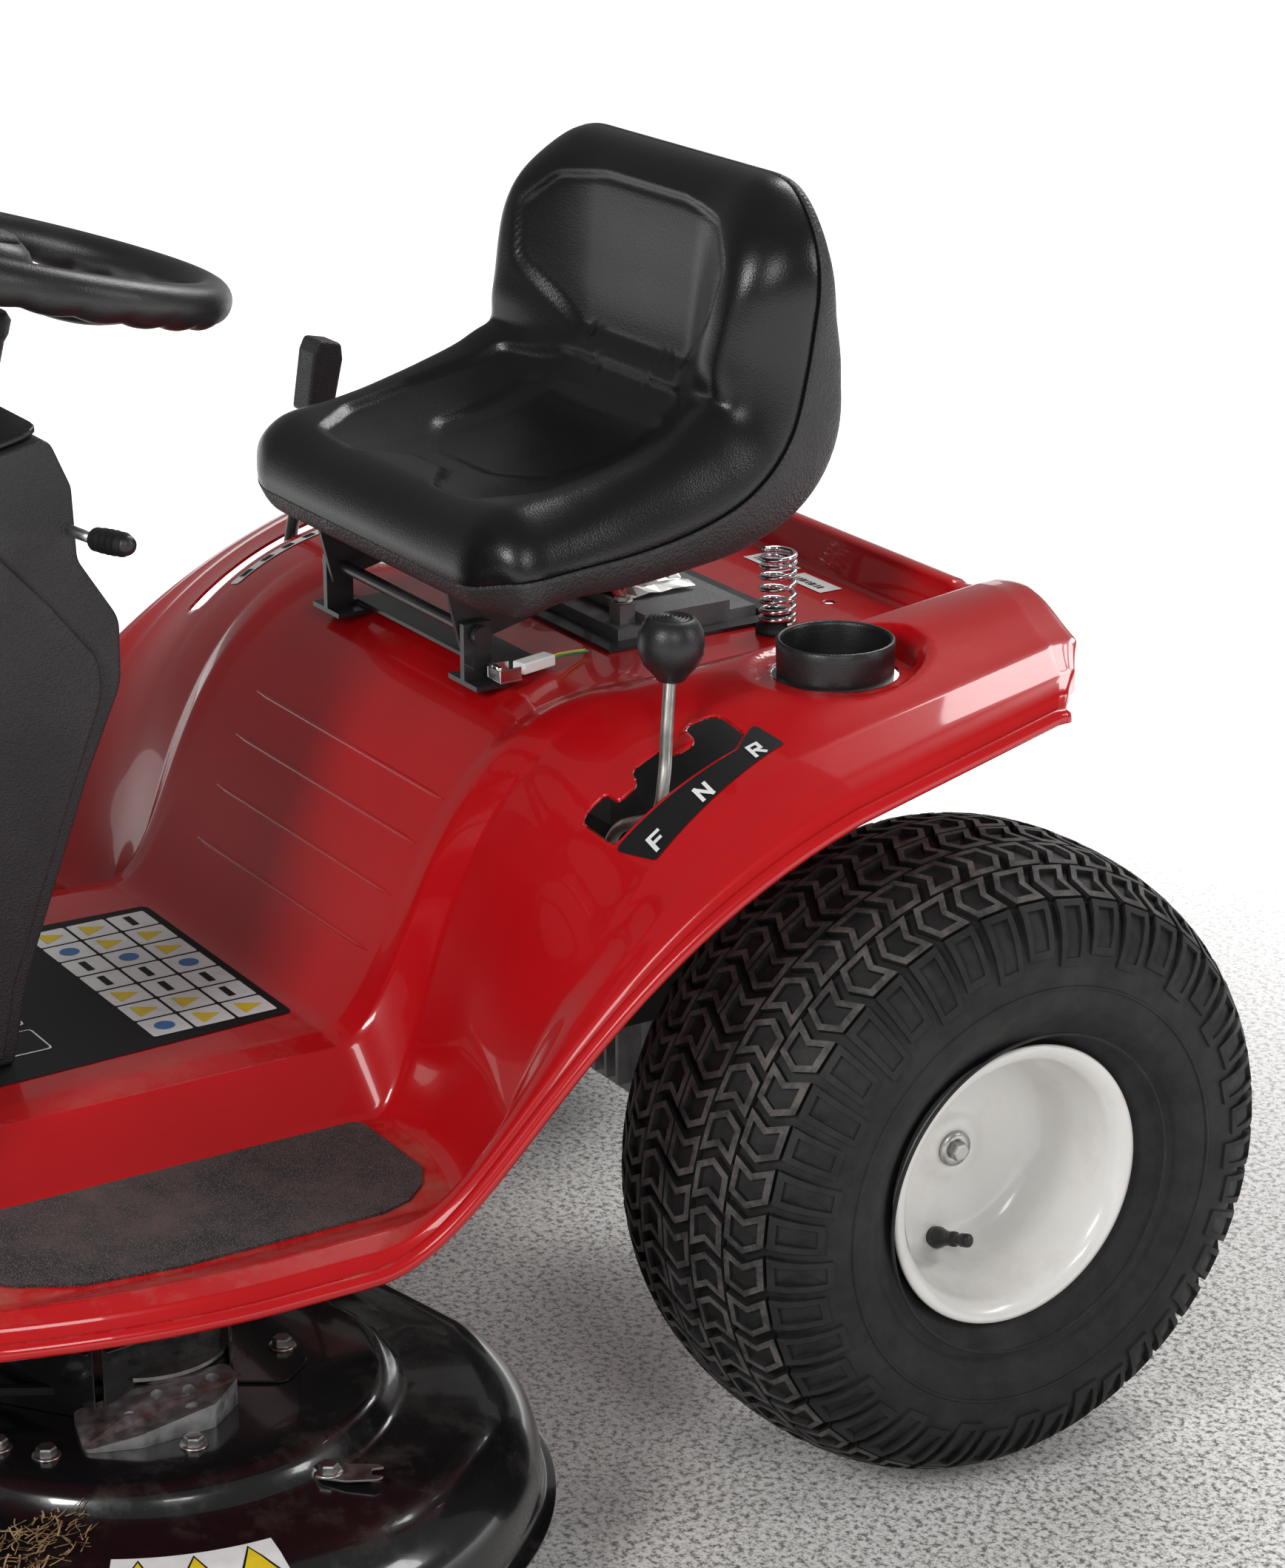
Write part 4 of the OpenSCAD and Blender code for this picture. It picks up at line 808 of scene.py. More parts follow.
def rounded_sheet(half, length, front_r, back_r, n):
    """A square grid of points that fills a rounded oblong: x across, s along from 0 to length."""
    def arc(cx, cy, r, first, last):
        return [(cx + r * math.cos(math.radians(a)), cy + r * math.sin(math.radians(a)))
                for a in np.linspace(first, last, 12)]
    right = (arc(half - front_r, front_r, front_r, -45, 0)
             + arc(half - back_r, length - back_r, back_r, 0, 45))
    top = (arc(half - back_r, length - back_r, back_r, 45, 90)
           + arc(-half + back_r, length - back_r, back_r, 90, 135))
    low = (arc(half - front_r, front_r, front_r, -45, -90)
           + arc(-half + front_r, front_r, front_r, -90, -135))
    right, top, low = evenly(right, 2 * n + 1), evenly(top, 2 * n + 1)[::-1], evenly(low, 2 * n + 1)[::-1]
    centre = np.array([0, length / 2])
    grid = np.zeros((2 * n + 1, 2 * n + 1, 2))
    marks = np.linspace(-1, 1, 2 * n + 1)

    def at(line, f):
        return np.array([np.interp(f, marks, line[:, 0]), np.interp(f, marks, line[:, 1])])
    for i in range(-n, n + 1):
        for j in range(-n, n + 1):
            k = max(abs(i), abs(j))
            if k == 0:
                grid[i + n, j + n] = centre
                continue
            reach = 1 - (1 - k / n) ** 1.5
            if abs(i) == k:
                edge = at(right, j / k)
                edge = edge if i > 0 else edge * (-1, 1)
            else:
                edge = at(top if j > 0 else low, i / k)
            grid[i + n, j + n] = centre + (edge - centre) * reach
    return grid


def two_sided(name, upper, lower):
    """A closed piece between two grids of points that share their outer edge's shape."""
    rows, cols = upper.shape[:2]
    verts = np.concatenate([upper.reshape(-1, 3), lower.reshape(-1, 3)])
    skin = grid_faces(rows, cols)
    faces = skin + [tuple(i + rows * cols for i in f) for f in skin]
    edge = [(0, j) for j in range(cols)] + [(i, cols - 1) for i in range(1, rows)]
    edge += [(rows - 1, j) for j in range(cols - 2, -1, -1)] + [(i, 0) for i in range(rows - 2, 0, -1)]
    loop = [i * cols + j for i, j in edge]
    far = rows * cols
    faces += [(a, b, b + far, a + far) for a, b in zip(loop, loop[1:] + loop[:1])]
    return outward(solid(name, [SEAT @ Vector(p) for p in verts], faces))


def make_seat():
    """A crowned cushion over a bent spine, and the plastic shell behind it."""
    spine = np.array(curve_through(SEAT_SPINE, 12))
    step = np.linalg.norm(np.diff(spine[:, :2], axis=0), axis=1)
    place = np.concatenate([[0], np.cumsum(step)])
    run = np.stack([np.gradient(spine[:, 0], place), np.gradient(spine[:, 1], place)], axis=1)
    run /= np.linalg.norm(run, axis=1)[:, None]
    length = place[-1]

    def read(s, column):
        return np.interp(s, place, column)

    def lay(sheet, height, widen=1.0):
        x, s = sheet[..., 0], sheet[..., 1]
        ry, rz = read(s, run[:, 0]), read(s, run[:, 1])
        across = x / SEAT_HALF * read(s, spine[:, 3]) * widen
        return np.stack([across, read(s, spine[:, 0]) - rz * height, read(s, spine[:, 1]) + ry * height], -1)

    sheet = rounded_sheet(SEAT_HALF, length, 0.060, 0.088, 64)
    x, s = sheet[..., 0], sheet[..., 1]
    n = sheet.shape[0]
    rim = [tuple(p) for p in np.concatenate([sheet[0], sheet[1:, -1], sheet[-1, -2::-1], sheet[-2:0:-1, 0]])]
    inset = -outline_distance(x, s, rim)
    inset[0], inset[-1], inset[:, 0], inset[:, -1] = 0, 0, 0, 0
    inset = np.clip(inset, 0, 1)
    share = np.abs(x) / SEAT_HALF
    bolster = read(s, spine[:, 2]) * smoothstep(0.36, 0.82, share)
    bolster = bolster + 0.004 * smoothstep(0.100, 0.045, s) * smoothstep(0.012, 0.05, s)
    soft = 0.052 - 0.014 * smoothstep(0.05, 0.16, s)
    fall = 1 - np.sqrt(np.clip(1 - (1 - np.clip(inset / soft, 0, 1)) ** 2, 0, 1))
    top = bolster * (1 - fall) - CUSHION_DEPTH * fall
    for outline, groove, step_down in ((CUSHION_EDGE, 0.0032, 0.0050), (CUSHION_PANEL, 0.0020, 0.0024),
                                       (BACK_PANEL, 0.0030, 0.0034)):
        d = outline_distance(x, s, outline) - 0.012
        top = top - groove * np.exp(-(d / 0.0034) ** 2) - step_down * smoothstep(0.004, -0.007, d)
    pinch = np.exp(-((s - 0.268) / 0.020) ** 2) * smoothstep(0.45, 0.80, share)
    pinch = pinch * smoothstep(0.0, 0.03, inset)
    top = top - 0.006 * pinch
    flat = np.full(x.shape, -CUSHION_DEPTH - 0.0015)
    cushion = two_sided("cushion", lay(sheet, top, 0.988), lay(sheet, flat, 0.985))
    dress(cushion, "seat", VINYL, ["seat_cushion"])
    wall = read(s, spine[:, 4])
    bend = np.sqrt(np.clip(1 - (1 - np.clip(inset / 0.016, 0, 1)) ** 2, 0, 1))
    lip = 0.0016 * np.exp(-(inset / 0.0035) ** 2)
    shell = two_sided("shell", lay(sheet, flat + lip + 0.0006),
                      lay(sheet, flat - 0.0016 - wall * bend))
    dress(shell, "seat", SHELL_PLASTIC, ["seat_shell"])


# ---------- wheels ----------

def oval_path(r_in, r_out, half_w, power=2.3, steps=160):
    """Outer line of a tyre, from its right bead over the crown to its left bead."""
    a = np.linspace(-0.30, math.pi + 0.30, steps)
    s, c = np.sin(a), np.cos(a)
    r = (r_in + r_out) / 2 + (r_out - r_in) / 2 * np.sign(s) * np.abs(s) ** (2 / power)
    h = half_w * np.sign(c) * np.abs(c) ** (2 / power)
    return r, h


class Tread:
    """Collects raised blocks, placed by their distance round the tyre and across it."""

    def __init__(self, r, h, centre, side):
        run = np.stack([np.gradient(r), np.gradient(h)], axis=1)
        run /= np.linalg.norm(run, axis=1)[:, None]
        self.normal = np.stack([-run[:, 1], run[:, 0]], axis=1)
        if self.normal[len(r) // 2, 0] < 0:
            self.normal = -self.normal
        step = np.hypot(np.diff(r), np.diff(h))
        place = np.concatenate([[0], np.cumsum(step)])
        self.place = place - place[len(r) // 2]
        self.r, self.h, self.centre, self.side = r, h, centre, side
        self.crown = r.max()
        self.verts, self.faces, self.worn = [], [], []

    def point(self, along, across, lift):
        r = np.interp(across, self.place, self.r)
        h = np.interp(across, self.place, self.h)
        nr = np.interp(across, self.place, self.normal[:, 0])
        nh = np.interp(across, self.place, self.normal[:, 1])
        r, h, angle = r + nr * lift, h + nh * lift, along / self.crown
        cx, cy, cz = self.centre
        return (cx + self.side * h, cy + r * math.cos(angle), cz + r * math.sin(angle))

    def ring(self, outline, inset, lift, floor, worn=True):
        """A raised rim round an outline, with a lower floor inside it. lift may vary across."""
        n = len(outline)
        cy = sum(p[0] for p in outline) / n
        cx = sum(p[1] for p in outline) / n
        inner = []
        for i, p in enumerate(outline):
            a, b = Vector(outline[i - 1]), Vector(outline[(i + 1) % n])
            p = Vector(p)
            e, f = (p - a).normalized(), (b - p).normalized()
            m = Vector((-(e + f).y, (e + f).x)).normalized()
            if m.dot(Vector((cy, cx)) - p) < 0 and n <= 4:
                m = -m
            inner.append(p + m * inset / max(0.5, m.dot(Vector((-e.y, e.x)))))
        first = len(self.verts)
        high = lift if callable(lift) else (lambda s: lift)
        for p in outline:
            self.verts.append(self.point(p[0], p[1], -0.001))
        for p in outline:
            self.verts.append(self.point(p[0], p[1], high(p[1])))
        for p in inner:
            self.verts.append(self.point(p[0], p[1], high(p[1])))
        for p in inner:
            self.verts.append(self.point(p[0], p[1], high(p[1]) * floor))
        for i in range(n):
            j = (i + 1) % n
            for k in range(3):
                self.faces.append((first + k * n + i, first + k * n + j,
                                   first + (k + 1) * n + j, first + (k + 1) * n + i))
                self.worn.append(worn and k == 1)
        self.faces.append(tuple(first + 3 * n + i for i in range(n)))
        self.worn.append(False)

    def piece(self, name):
        obj = solid(name, self.verts, self.faces, smooth=False)
        outward(obj)
        return obj


def make_tire(name, centre, side, r_rim, r_out, width, pitches):
    """Carcass with moulded lines, and a tread of zigzag blocks whose tops are worn."""
    body = f"{name}_wheel"
    lug = 0.007
    r, h = oval_path(r_rim - 0.004, r_out - lug, width / 2 - 0.0025)
    keep = r > r_rim + 0.010
    inner = [(r_rim + 0.012, width * 0.36), (r_rim + 0.003, width * 0.34), (r_rim + 0.003, -width * 0.34),
             (r_rim + 0.012, -width * 0.36)]
    outline = list(zip(r[keep], h[keep]))
    if outline[0][1] < 0:
        outline.reverse()
    carcass = lathe(f"{name}_carcass", outline + inner[::-1], centre, "x", 160, side)
    dress(carcass, body, RUBBER, [f"{name}_tire"])
    for k, spot in enumerate((0.90, 0.62)):
        rr = r_rim + 0.012 + (r_out - r_rim) * (1 - spot) * 0.9
        hh = np.interp(rr, r[:len(r) // 2][np.argsort(r[:len(r) // 2])],
                       np.abs(h[:len(r) // 2])[np.argsort(r[:len(r) // 2])])
        for s in (-1, 1):
            ridge = [(rr + 0.0015 * math.cos(a), s * hh + 0.0013 * math.sin(a))
                     for a in np.linspace(0, 2 * math.pi, 9)[:-1]]
            line = lathe(f"{name}_line_{k}_{'r' if s < 0 else 'l'}", ridge, centre, "x", 128, side)
            dress(line, body, RUBBER)
    tread = Tread(r, h, centre, side)
    pitch = 2 * math.pi * tread.crown / pitches
    bar, cell, amp = pitch * 0.76, width * 0.137, pitch * 0.24
    edge = 3 * cell
    wrap = width * 0.20
    for k in range(pitches):
        base = k * pitch
        for i in range(6):
            s0 = -edge + i * cell + 0.0012
            s1 = s0 + cell - 0.0024
            mid = (s0 + s1) / 2
            up = amp if i % 2 else -amp
            shift = pitch / 2 if i in (1, 4) else 0
            outline = [(base + shift, s0), (base + shift + up, mid), (base + shift, s1),
                       (base + shift + bar, s1), (base + shift + bar + up, mid), (base + shift + bar, s0)]
            tread.ring([(p[0], -p[1]) for p in outline], bar * 0.17, lug, 0.38)
        for s in (-1, 1):
            a = edge + 0.0012
            b = edge + wrap * (1.0 if k % 2 else 0.84)
            steps = np.linspace(a, b, 5)
            lean = amp * 0.8
            outline = [(base + lean * (t - a) / wrap, t) for t in steps]
            outline += [(base + bar + lean * (t - a) / wrap, t) for t in steps[::-1]]
            if s > 0:
                outline = [(p[0], -p[1]) for p in outline]
            tread.ring(outline, bar * 0.2, lambda t, a=a, b=b: lug * (1 - 0.72 * smoothstep(a, b, abs(t))),
                       0.45, False)
    blocks = tread.piece(f"{name}_tread")
    dress(blocks, body, [RUBBER, WORN_RUBBER])
    for polygon, worn in zip(blocks.data.polygons, tread.worn):
        polygon.material_index = int(worn)


def make_rim(name, centre, side, r_rim, half, disc, hub):
    """Dished disc, inner barrel, hub tube and valve."""
    body = f"{name}_wheel"
    lip = r_rim + 0.0105
    profile = [(lip - 0.002, half - 0.0005), (lip, half + 0.001), (lip - 0.001, half + 0.003),
               (lip - 0.004, half + 0.003), (r_rim + 0.001, half + 0.0005), (r_rim - 0.0035, half - 0.004),
               (r_rim - 0.005, half - 0.012), (r_rim - 0.006, half * 0.72), (r_rim - 0.012, half * 0.60),
               (r_rim - 0.0145, half * 0.50), (r_rim - 0.0155, disc + 0.022),
               (r_rim - 0.019, disc + 0.010), (r_rim - 0.026, disc + 0.004), (r_rim - 0.036, disc + 0.002),
               (hub + 0.018, disc), (hub + 0.010, disc + 0.002), (hub + 0.004, disc + 0.0045),
               (0.0097, disc + 0.0045), (0.0097, disc - 0.002), (hub + 0.012, disc - 0.003),
               (r_rim - 0.036, disc - 0.002), (r_rim - 0.018, disc + 0.004),
               (r_rim - 0.0125, disc + 0.022), (r_rim - 0.0115, half * 0.50),
               (r_rim - 0.0085, half * 0.60), (r_rim - 0.0028, half * 0.72), (r_rim - 0.0005, half - 0.008),
               (lip - 0.004, half - 0.0005)]
    dish = lathe(f"{name}_dish", profile, centre, "x", 160, side)
    dress(dish, body, RIM_ENAMEL, [f"{name}_rim"])
    rear = [(r_rim, disc + 0.03), (r_rim, -half), (lip, -half), (lip, -half - 0.003),
            (r_rim - 0.003, -half - 0.003), (r_rim - 0.003, disc + 0.03)]
    barrel = lathe(f"{name}_barrel", rear, centre, "x", 128, side)
    dress(barrel, body, RIM_ENAMEL)
    bore, tube_r, inner_end = 0.0097, 0.016, -half * 0.74
    boss_tube = [(bore, disc - 0.001), (tube_r, disc - 0.001), (tube_r, inner_end), (bore, inner_end)]
    dress(lathe(f"{name}_boss", boss_tube, centre, "x", 48, side), body, RIM_ENAMEL)
    cx, cy, cz = centre
    root = Vector((cx + side * (disc + 0.004), cy - 0.016, cz - (r_rim - 0.030)))
    lean = Vector((side * 1.0, 0.12, 0.30)).normalized()
    shape = ((0, 0.0085), (0.006, 0.0085), (0.012, 0.0062), (0.020, 0.0052), (0.021, 0.0060),
             (0.024, 0.0060), (0.025, 0.0045), (0.031, 0.0045), (0.032, 0.0054), (0.039, 0.0054),
             (0.041, 0.0035))
    stem = tube(f"{name}_valve", [root + lean * d for d, _ in shape], [w for _, w in shape], 20)
    dress(stem, body, TRIM_PLASTIC)


def make_wheel_bolt(name, node, centre, side, hub_face):
    """Washer and hex bolt at the middle of a wheel, and the half shaft behind them."""
    body = f"{name}_wheel"
    cx, cy, cz = centre
    start = abs(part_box(node)[0 if side > 0 else 1][0])
    shaft = lathe(f"{name}_shaft", [(0.0, hub_face), (0.0094, hub_face), (0.0094, start - abs(cx)),
                                    (0.0, start - abs(cx))], centre, "x", 40, side)
    dress(shaft, body, DULL_STEEL, [node])
    ring = [(0.004, hub_face), (0.0135, hub_face), (0.0142, hub_face + 0.0008), (0.0135, hub_face + 0.003),
            (0.004, hub_face + 0.003)]
    dress(lathe(f"{name}_washer", ring, centre, "x", 48, side), body, ZINC)
    hexagon(f"{name}_bolt", body, (cx + side * (hub_face + 0.003), cy, cz), (side, 0, 0), 0.0078, 0.007)


def hexagon(name, body, spot, way, radius, height):
    """A bolt head with chamfered corners and a washer face, standing on a surface."""
    turn = Vector(way).to_track_quat("Z", "Y").to_matrix().to_4x4()
    place = Matrix.Translation(spot) @ turn
    levels = ((radius * 0.98, 0.0), (radius, 0.0004), (radius, height * 0.82), (radius * 0.86, height),
              (radius * 0.55, height * 1.02))
    rings = [[place @ Vector((x, y, z)) for x, y in circle(0, 0, r, 6)] for r, z in levels]
    dress(through(name, rings, smooth=False), body, ZINC)


# Each pair of wheels: centre of the left one, rim radius, tyre radius, tyre width, tread pitches,
# half width of the rim, place of its disc, hub radius
WHEELS = {"rear": ((0.385, 0.600, 0.254), 0.1016, 0.2525, 0.244, 42, 0.094, 0.013, 0.016),
          "front": ((0.380, -0.600, 0.1905), 0.0762, 0.1905, 0.150, 36, 0.056, 0.010, 0.014)}
REAR_HUB_FACE = 0.0175


def make_wheels():
    for side, hand in ((1, "left"), (-1, "right")):
        for end, ((x, y, z), r_rim, r_out, width, pitches, half, disc, hub) in WHEELS.items():
            name = f"{hand}_{end}"
            centre = (side * x, y, z)
            make_tire(name, centre, side, r_rim, r_out, width, pitches)
            make_rim(name, centre, side, r_rim, half, disc, hub)
            if end == "rear":
                make_wheel_bolt(name, f"{hand}_axle_shaft", centre, side, REAR_HUB_FACE)


# ---------- steering ----------

COLUMN = Matrix.Translation((0, 0.010, 0.945)) @ Matrix.Rotation(math.radians(-15), 4, "X")


def at_column(points):
    """Points given about the steering wheel's centre, put on the leaning column."""
    return [COLUMN @ Vector(p) for p in points]


def make_steering_wheel():
    ring_r, grip, around, sides = 0.169, 0.0155, 288, 28
    verts = []
    for i in range(around):
        a = 2 * math.pi * i / around
        for k in range(sides):
            b = 2 * math.pi * k / sides
            below = max(0.0, -math.sin(b)) ** 1.5
            finger = 0.0026 * below * abs(math.sin(a * 14))
            r = grip + finger * (0.35 if abs(math.cos(a * 1.5)) < 0.25 else 1.0)
            verts.append(((ring_r + r * math.cos(b)) * math.cos(a), (ring_r + r * math.cos(b)) * math.sin(a),
                          r * math.sin(b)))
    rim = outward(solid("wheel_ring", at_column(verts), grid_faces(around, sides, True, True)))
    dress(rim, "steering", TRIM_PLASTIC, ["steering_wheel"])
    hub = [(0.0092, -0.030), (0.040, -0.030), (0.043, -0.022), (0.042, -0.004), (0.036, 0.006),
           (0.030, 0.011), (0.016, 0.0135), (0.0092, 0.0135)]
    dress(lathe("wheel_hub", hub, COLUMN, "z", 64), "steering", TRIM_PLASTIC)
    cap = [at_column([(x, y, z) for x, y in circle(0, 0, r)])
           for r, z in ((0.029, 0.0115), (0.024, 0.016), (0.012, 0.0185), (0.001, 0.019))]
    dress(through("wheel_cap", cap), "steering", DASH_PLASTIC)
    for k, degrees in enumerate((30, 150, 270)):
        a = math.radians(degrees)
        way, across = Vector((math.cos(a), math.sin(a), 0)), Vector((-math.sin(a), math.cos(a), 0))
        rows = []
        for t in np.linspace(0, 1, 14):
            d = 0.034 + (ring_r - 0.006 - 0.034) * t
            sag = -0.020 + 0.018 * t ** 2.2 - 0.008 * math.sin(math.pi * t)
            half = 0.021 - 0.007 * math.sin(math.pi * min(1, t * 1.1))
            rows.append(at_column([way * d + across * x + Vector((0, 0, sag + z))
                                   for x, z in ellipse(half, 0.0065)]))
        dress(through(f"spoke_{k}", rows), "steering", TRIM_PLASTIC)


def make_column_cover():
    profile = [(0.0155, -0.150), (0.036, -0.150), (0.0345, -0.140), (0.031, -0.134), (0.0305, -0.060),
               (0.0325, -0.054), (0.0325, -0.044), (0.028, -0.039), (0.0155, -0.039)]
    cover = lathe("column_cover", profile, COLUMN, "z", 64)
    dress(cover, "chassis", DASH_PLASTIC, ["steering_column"])
    lower = tube("column_tube", at_column([(0, 0, -0.150), (0, 0, -0.430)]), 0.0151, 32)
    dress(lower, "chassis", FRAME_BLACK)


# ---------- controls ----------

def make_shift_lever():
    path = curve_through([(0.235, 0.380, 0.420), (0.262, 0.380, 0.508), (0.325, 0.377, 0.544),
                          (0.336, 0.378, 0.575), (0.318, 0.392, 0.607), (0.302, 0.405, 0.640)], 10)
    lever = tube("gear_rod", path, 0.0047, 20)
    dress(lever, "shifter", DULL_STEEL, ["shift_lever"])
    collar = lathe("gear_pivot", [(0.0, -0.014), (0.013, -0.014), (0.013, 0.014), (0.0, 0.014)],
                   (0.235, 0.380, 0.420), "x", 40)
    dress(collar, "shifter", DULL_STEEL)
    shape = [(0.0001, -0.027), (0.0105, -0.027), (0.0125, -0.024), (0.015, -0.021), (0.0205, -0.015),
             (0.0243, -0.006), (0.025, 0.002), (0.0238, 0.010), (0.021, 0.0155), (0.0185, 0.0185),
             (0.0165, 0.0200)]
    for k in range(5):
        r, z = 0.0150 - k * 0.0029, 0.0206 + k * 0.0003
        shape += [(r, z), (r - 0.0006, z - 0.0008), (r - 0.0015, z - 0.0008), (r - 0.0021, z + 0.0003)]
    shape.append((0.0001, 0.0224))
    knob = lathe("gear_knob", shape, (0.300, 0.407, 0.664), "z", 72)
    dress(knob, "shifter", TRIM_PLASTIC, ["shift_knob"])


def make_lift_lever():
    path = curve_through([(-0.235, 0.380, 0.400), (-0.262, 0.392, 0.505), (-0.322, 0.409, 0.545),
                          (-0.330, 0.418, 0.590), (-0.330, 0.446, 0.712)], 8)
    dress(tube("lift_rod", path, 0.0055, 20), "lift", FRAME_BLACK, ["lift_lever"])
    collar = lathe("lift_pivot", [(0.0, -0.012), (0.015, -0.012), (0.015, 0.034), (0.0, 0.034)],
                   (-0.235, 0.380, 0.400), "x", 40)
    dress(collar, "lift", FRAME_BLACK)
    turn = Matrix.Translation((-0.330, 0.446, 0.712)) @ Matrix.Rotation(math.radians(-12), 4, "X")
    outline = rounded_path([(-0.013, -0.014, 0.004), (0.012, -0.014, 0.004), (0.013, 0.036, 0.003),
                            (0.009, 0.050, 0.006), (-0.013, 0.050, 0.005), (-0.016, 0.038, 0.003)])
    ends = [[turn @ Vector((x, y, z)) for y, z in outline] for x in (-0.015, 0.015)]
    grip = bevelled(between("lift_handle", *ends), 0.003)
    dress(grip, "lift", DASH_PLASTIC, ["lift_grip"])


def make_brake_lock():
    path = [(0.112, 0.018, 0.765), (0.130, 0.0195, 0.7653), (0.152, 0.022, 0.766)]
    rod = tube("lock_rod", path, 0.0042, 20)
    dress(rod, "brake_lock", ZINC, ["brake_lock_lever"])
    points, radii = [], []
    for k in range(22):
        t = k / 21
        points.append((0.149 + 0.046 * t, 0.0216 + 0.009 * t, 0.7659 + 0.004 * t))
        ridge = 0.0006 * math.cos(k * 1.9)
        radii.append(0.0088 * math.sqrt(max(0.10, 1 - (2 * t - 1) ** 6)) + ridge)
    dress(tube("lock_grip", points, radii, 24), "brake_lock", TRIM_PLASTIC)


def make_cup_holder():
    x, y = CUP
    profile = [(0.0390, 0.5665), (0.0392, 0.600), (0.0405, 0.620), (0.0412, 0.638), (0.0420, 0.6405),
               (0.0438, 0.6412), (0.0452, 0.6398), (0.0452, 0.634), (0.0446, 0.615), (0.0440, 0.600),
               (0.0418, 0.598), (0.0418, 0.5635), (0.0001, 0.5635), (0.0001, 0.5665)]
    cup = lathe("cup_ring", profile, (x, y, 0), "z", 96)
    dress(cup, "chassis", TRIM_PLASTIC, ["cup_holder"])
    slot = block("cup_floor_slot", (x - 0.012, y - 0.004, 0.5663), (x + 0.012, y + 0.004, 0.5670))
    dress(slot, "chassis", FRAME_BLACK)


SPRING_SPOT = (0.135, 0.612)


def make_springs():
    for k, side in enumerate((-1, 1)):
        turns, steps, r, wire = 7.6, 28, 0.0133, 0.00215
        n = int(turns * steps)
        base, length = 0.6045, 0.057
        path = []
        for i in range(n + 1):
            a = 2 * math.pi * i / steps
            t = i / n
            ease = t - 0.055 * math.sin(2 * math.pi * t)
            path.append((side * SPRING_SPOT[0] + r * math.cos(a), SPRING_SPOT[1] + r * math.sin(a),
                         base + length * ease))
        dress(tube(f"spring_{k}", path, wire, 12), "chassis", CHROME,
              ["seat_springs"] if k == 0 else ())
        seat = [(0.0001, 0.5964), (0.0172, 0.5964), (0.0176, 0.599), (0.0165, 0.6025), (0.011, 0.6035),
                (0.0105, 0.612), (0.0001, 0.614)]
        pad = lathe(f"spring_pad_{k}", seat, (side * SPRING_SPOT[0], SPRING_SPOT[1], 0), "z", 48)
        dress(pad, "chassis", RUBBER)


def make_battery_leads():
    """Leads with their lugs and bolts, and a crumpled piece of foil on the battery."""
    red = curve_through([(0.074, 0.505, 0.623), (0.066, 0.500, 0.636), (0.040, 0.503, 0.643),
                         (0.010, 0.512, 0.638), (-0.020, 0.530, 0.629), (-0.044, 0.548, 0.622),
                         (-0.060, 0.560, 0.6195)], 8)
    black = curve_through([(-0.074, 0.505, 0.623), (-0.080, 0.520, 0.634), (-0.082, 0.545, 0.637),
                           (-0.084, 0.570, 0.630), (-0.086, 0.590, 0.621), (-0.088, 0.606, 0.6135)], 8)
    dress(tube("red_lead", red, 0.0036, 16), "chassis", RED_WIRE, ["battery_cables"])
    dress(tube("black_lead", black, 0.0031, 16), "chassis", BLACK_WIRE)
    second = curve_through([(0.066, 0.508, 0.625), (0.050, 0.530, 0.640), (0.020, 0.552, 0.636),
                            (-0.010, 0.560, 0.622), (-0.030, 0.568, 0.618)], 8)
    dress(tube("red_lead_2", second, 0.0032, 16), "chassis", RED_WIRE)
    for k, x in enumerate((-0.074, 0.074)):
        hexagon(f"terminal_{k}", "chassis", (x, 0.505, 0.6222), (0, 0, 1), 0.0062, 0.006)
        sleeve = lathe(f"lug_{k}", [(0.0001, 0.6221), (0.0085, 0.6221), (0.0085, 0.6236), (0.0001, 0.6236)],
                       (x, 0.505, 0), "z", 32)
        dress(sleeve, "chassis", DULL_STEEL)
    sheet = []
    rng = np.random.default_rng(5)
    for i in range(9):
        for j in range(7):
            sheet.append((-0.035 + i * 0.011, 0.522 + j * 0.011, 0.6152 + 0.0035 * rng.random()
                          + (0.012 if i in (3, 4, 5) else 0.006 * (i % 2)) * (0.4 + 0.6 * rng.random())))
    foil = solid("foil_wrap", sheet, grid_faces(9, 7), smooth=False)
    modifier(foil, "SOLIDIFY", thickness=0.0006, offset=1)
    dress(foil, "chassis", FOIL)


WIRE_STEPS = ((0, 0, 0), (-0.004, 0.012, 0.0), (-0.012, 0.026, -0.003), (-0.020, 0.046, -0.0065))


def make_seat_plug():
    """Spring clip and white plug with its two thin wires, beside the seat's left foot."""
    clip = bevelled(block("clip", (0.1245, 0.352, 0.5995), (0.146, 0.371, 0.601)), 0.0005)
    dress(clip, "chassis", CHROME, ["seat_switch"])
    for k, x in enumerate((0.1250, 0.1440)):
        ear = block(f"clip_ear_{k}", (x, 0.352, 0.600), (x + 0.0015, 0.371, 0.6105))
        dress(bevelled(ear, 0.0005), "chassis", CHROME)
    bow = [(0.126, 0.3535, 0.6105), (0.135, 0.3525, 0.6115), (0.144, 0.3535, 0.6105)]
    curl = tube("clip_curl", bow, 0.0022, 12)
    dress(curl, "chassis", CHROME)
    turn = Matrix.Translation((0.135, 0.374, 0.6062)) @ Matrix.Rotation(math.radians(14), 4, "Z")
    plug = block("plug", (-0.0065, 0, -0.0045), (0.0065, 0.034, 0.0045))
    plug.data.transform(turn)
    dress(bevelled(plug, 0.0012), "chassis", WHITE_PLASTIC)
    for k, color in enumerate((FILM_YELLOW, GREEN_WIRE)):
        start = turn @ Vector((-0.002 + 0.004 * k, 0.033, 0.0))
        path = curve_through([start + Vector(step) for step in WIRE_STEPS], 6)
        dress(tube(f"plug_wire_{k}", path, 0.0011, 8), "chassis", color)


# ---------- dash ----------

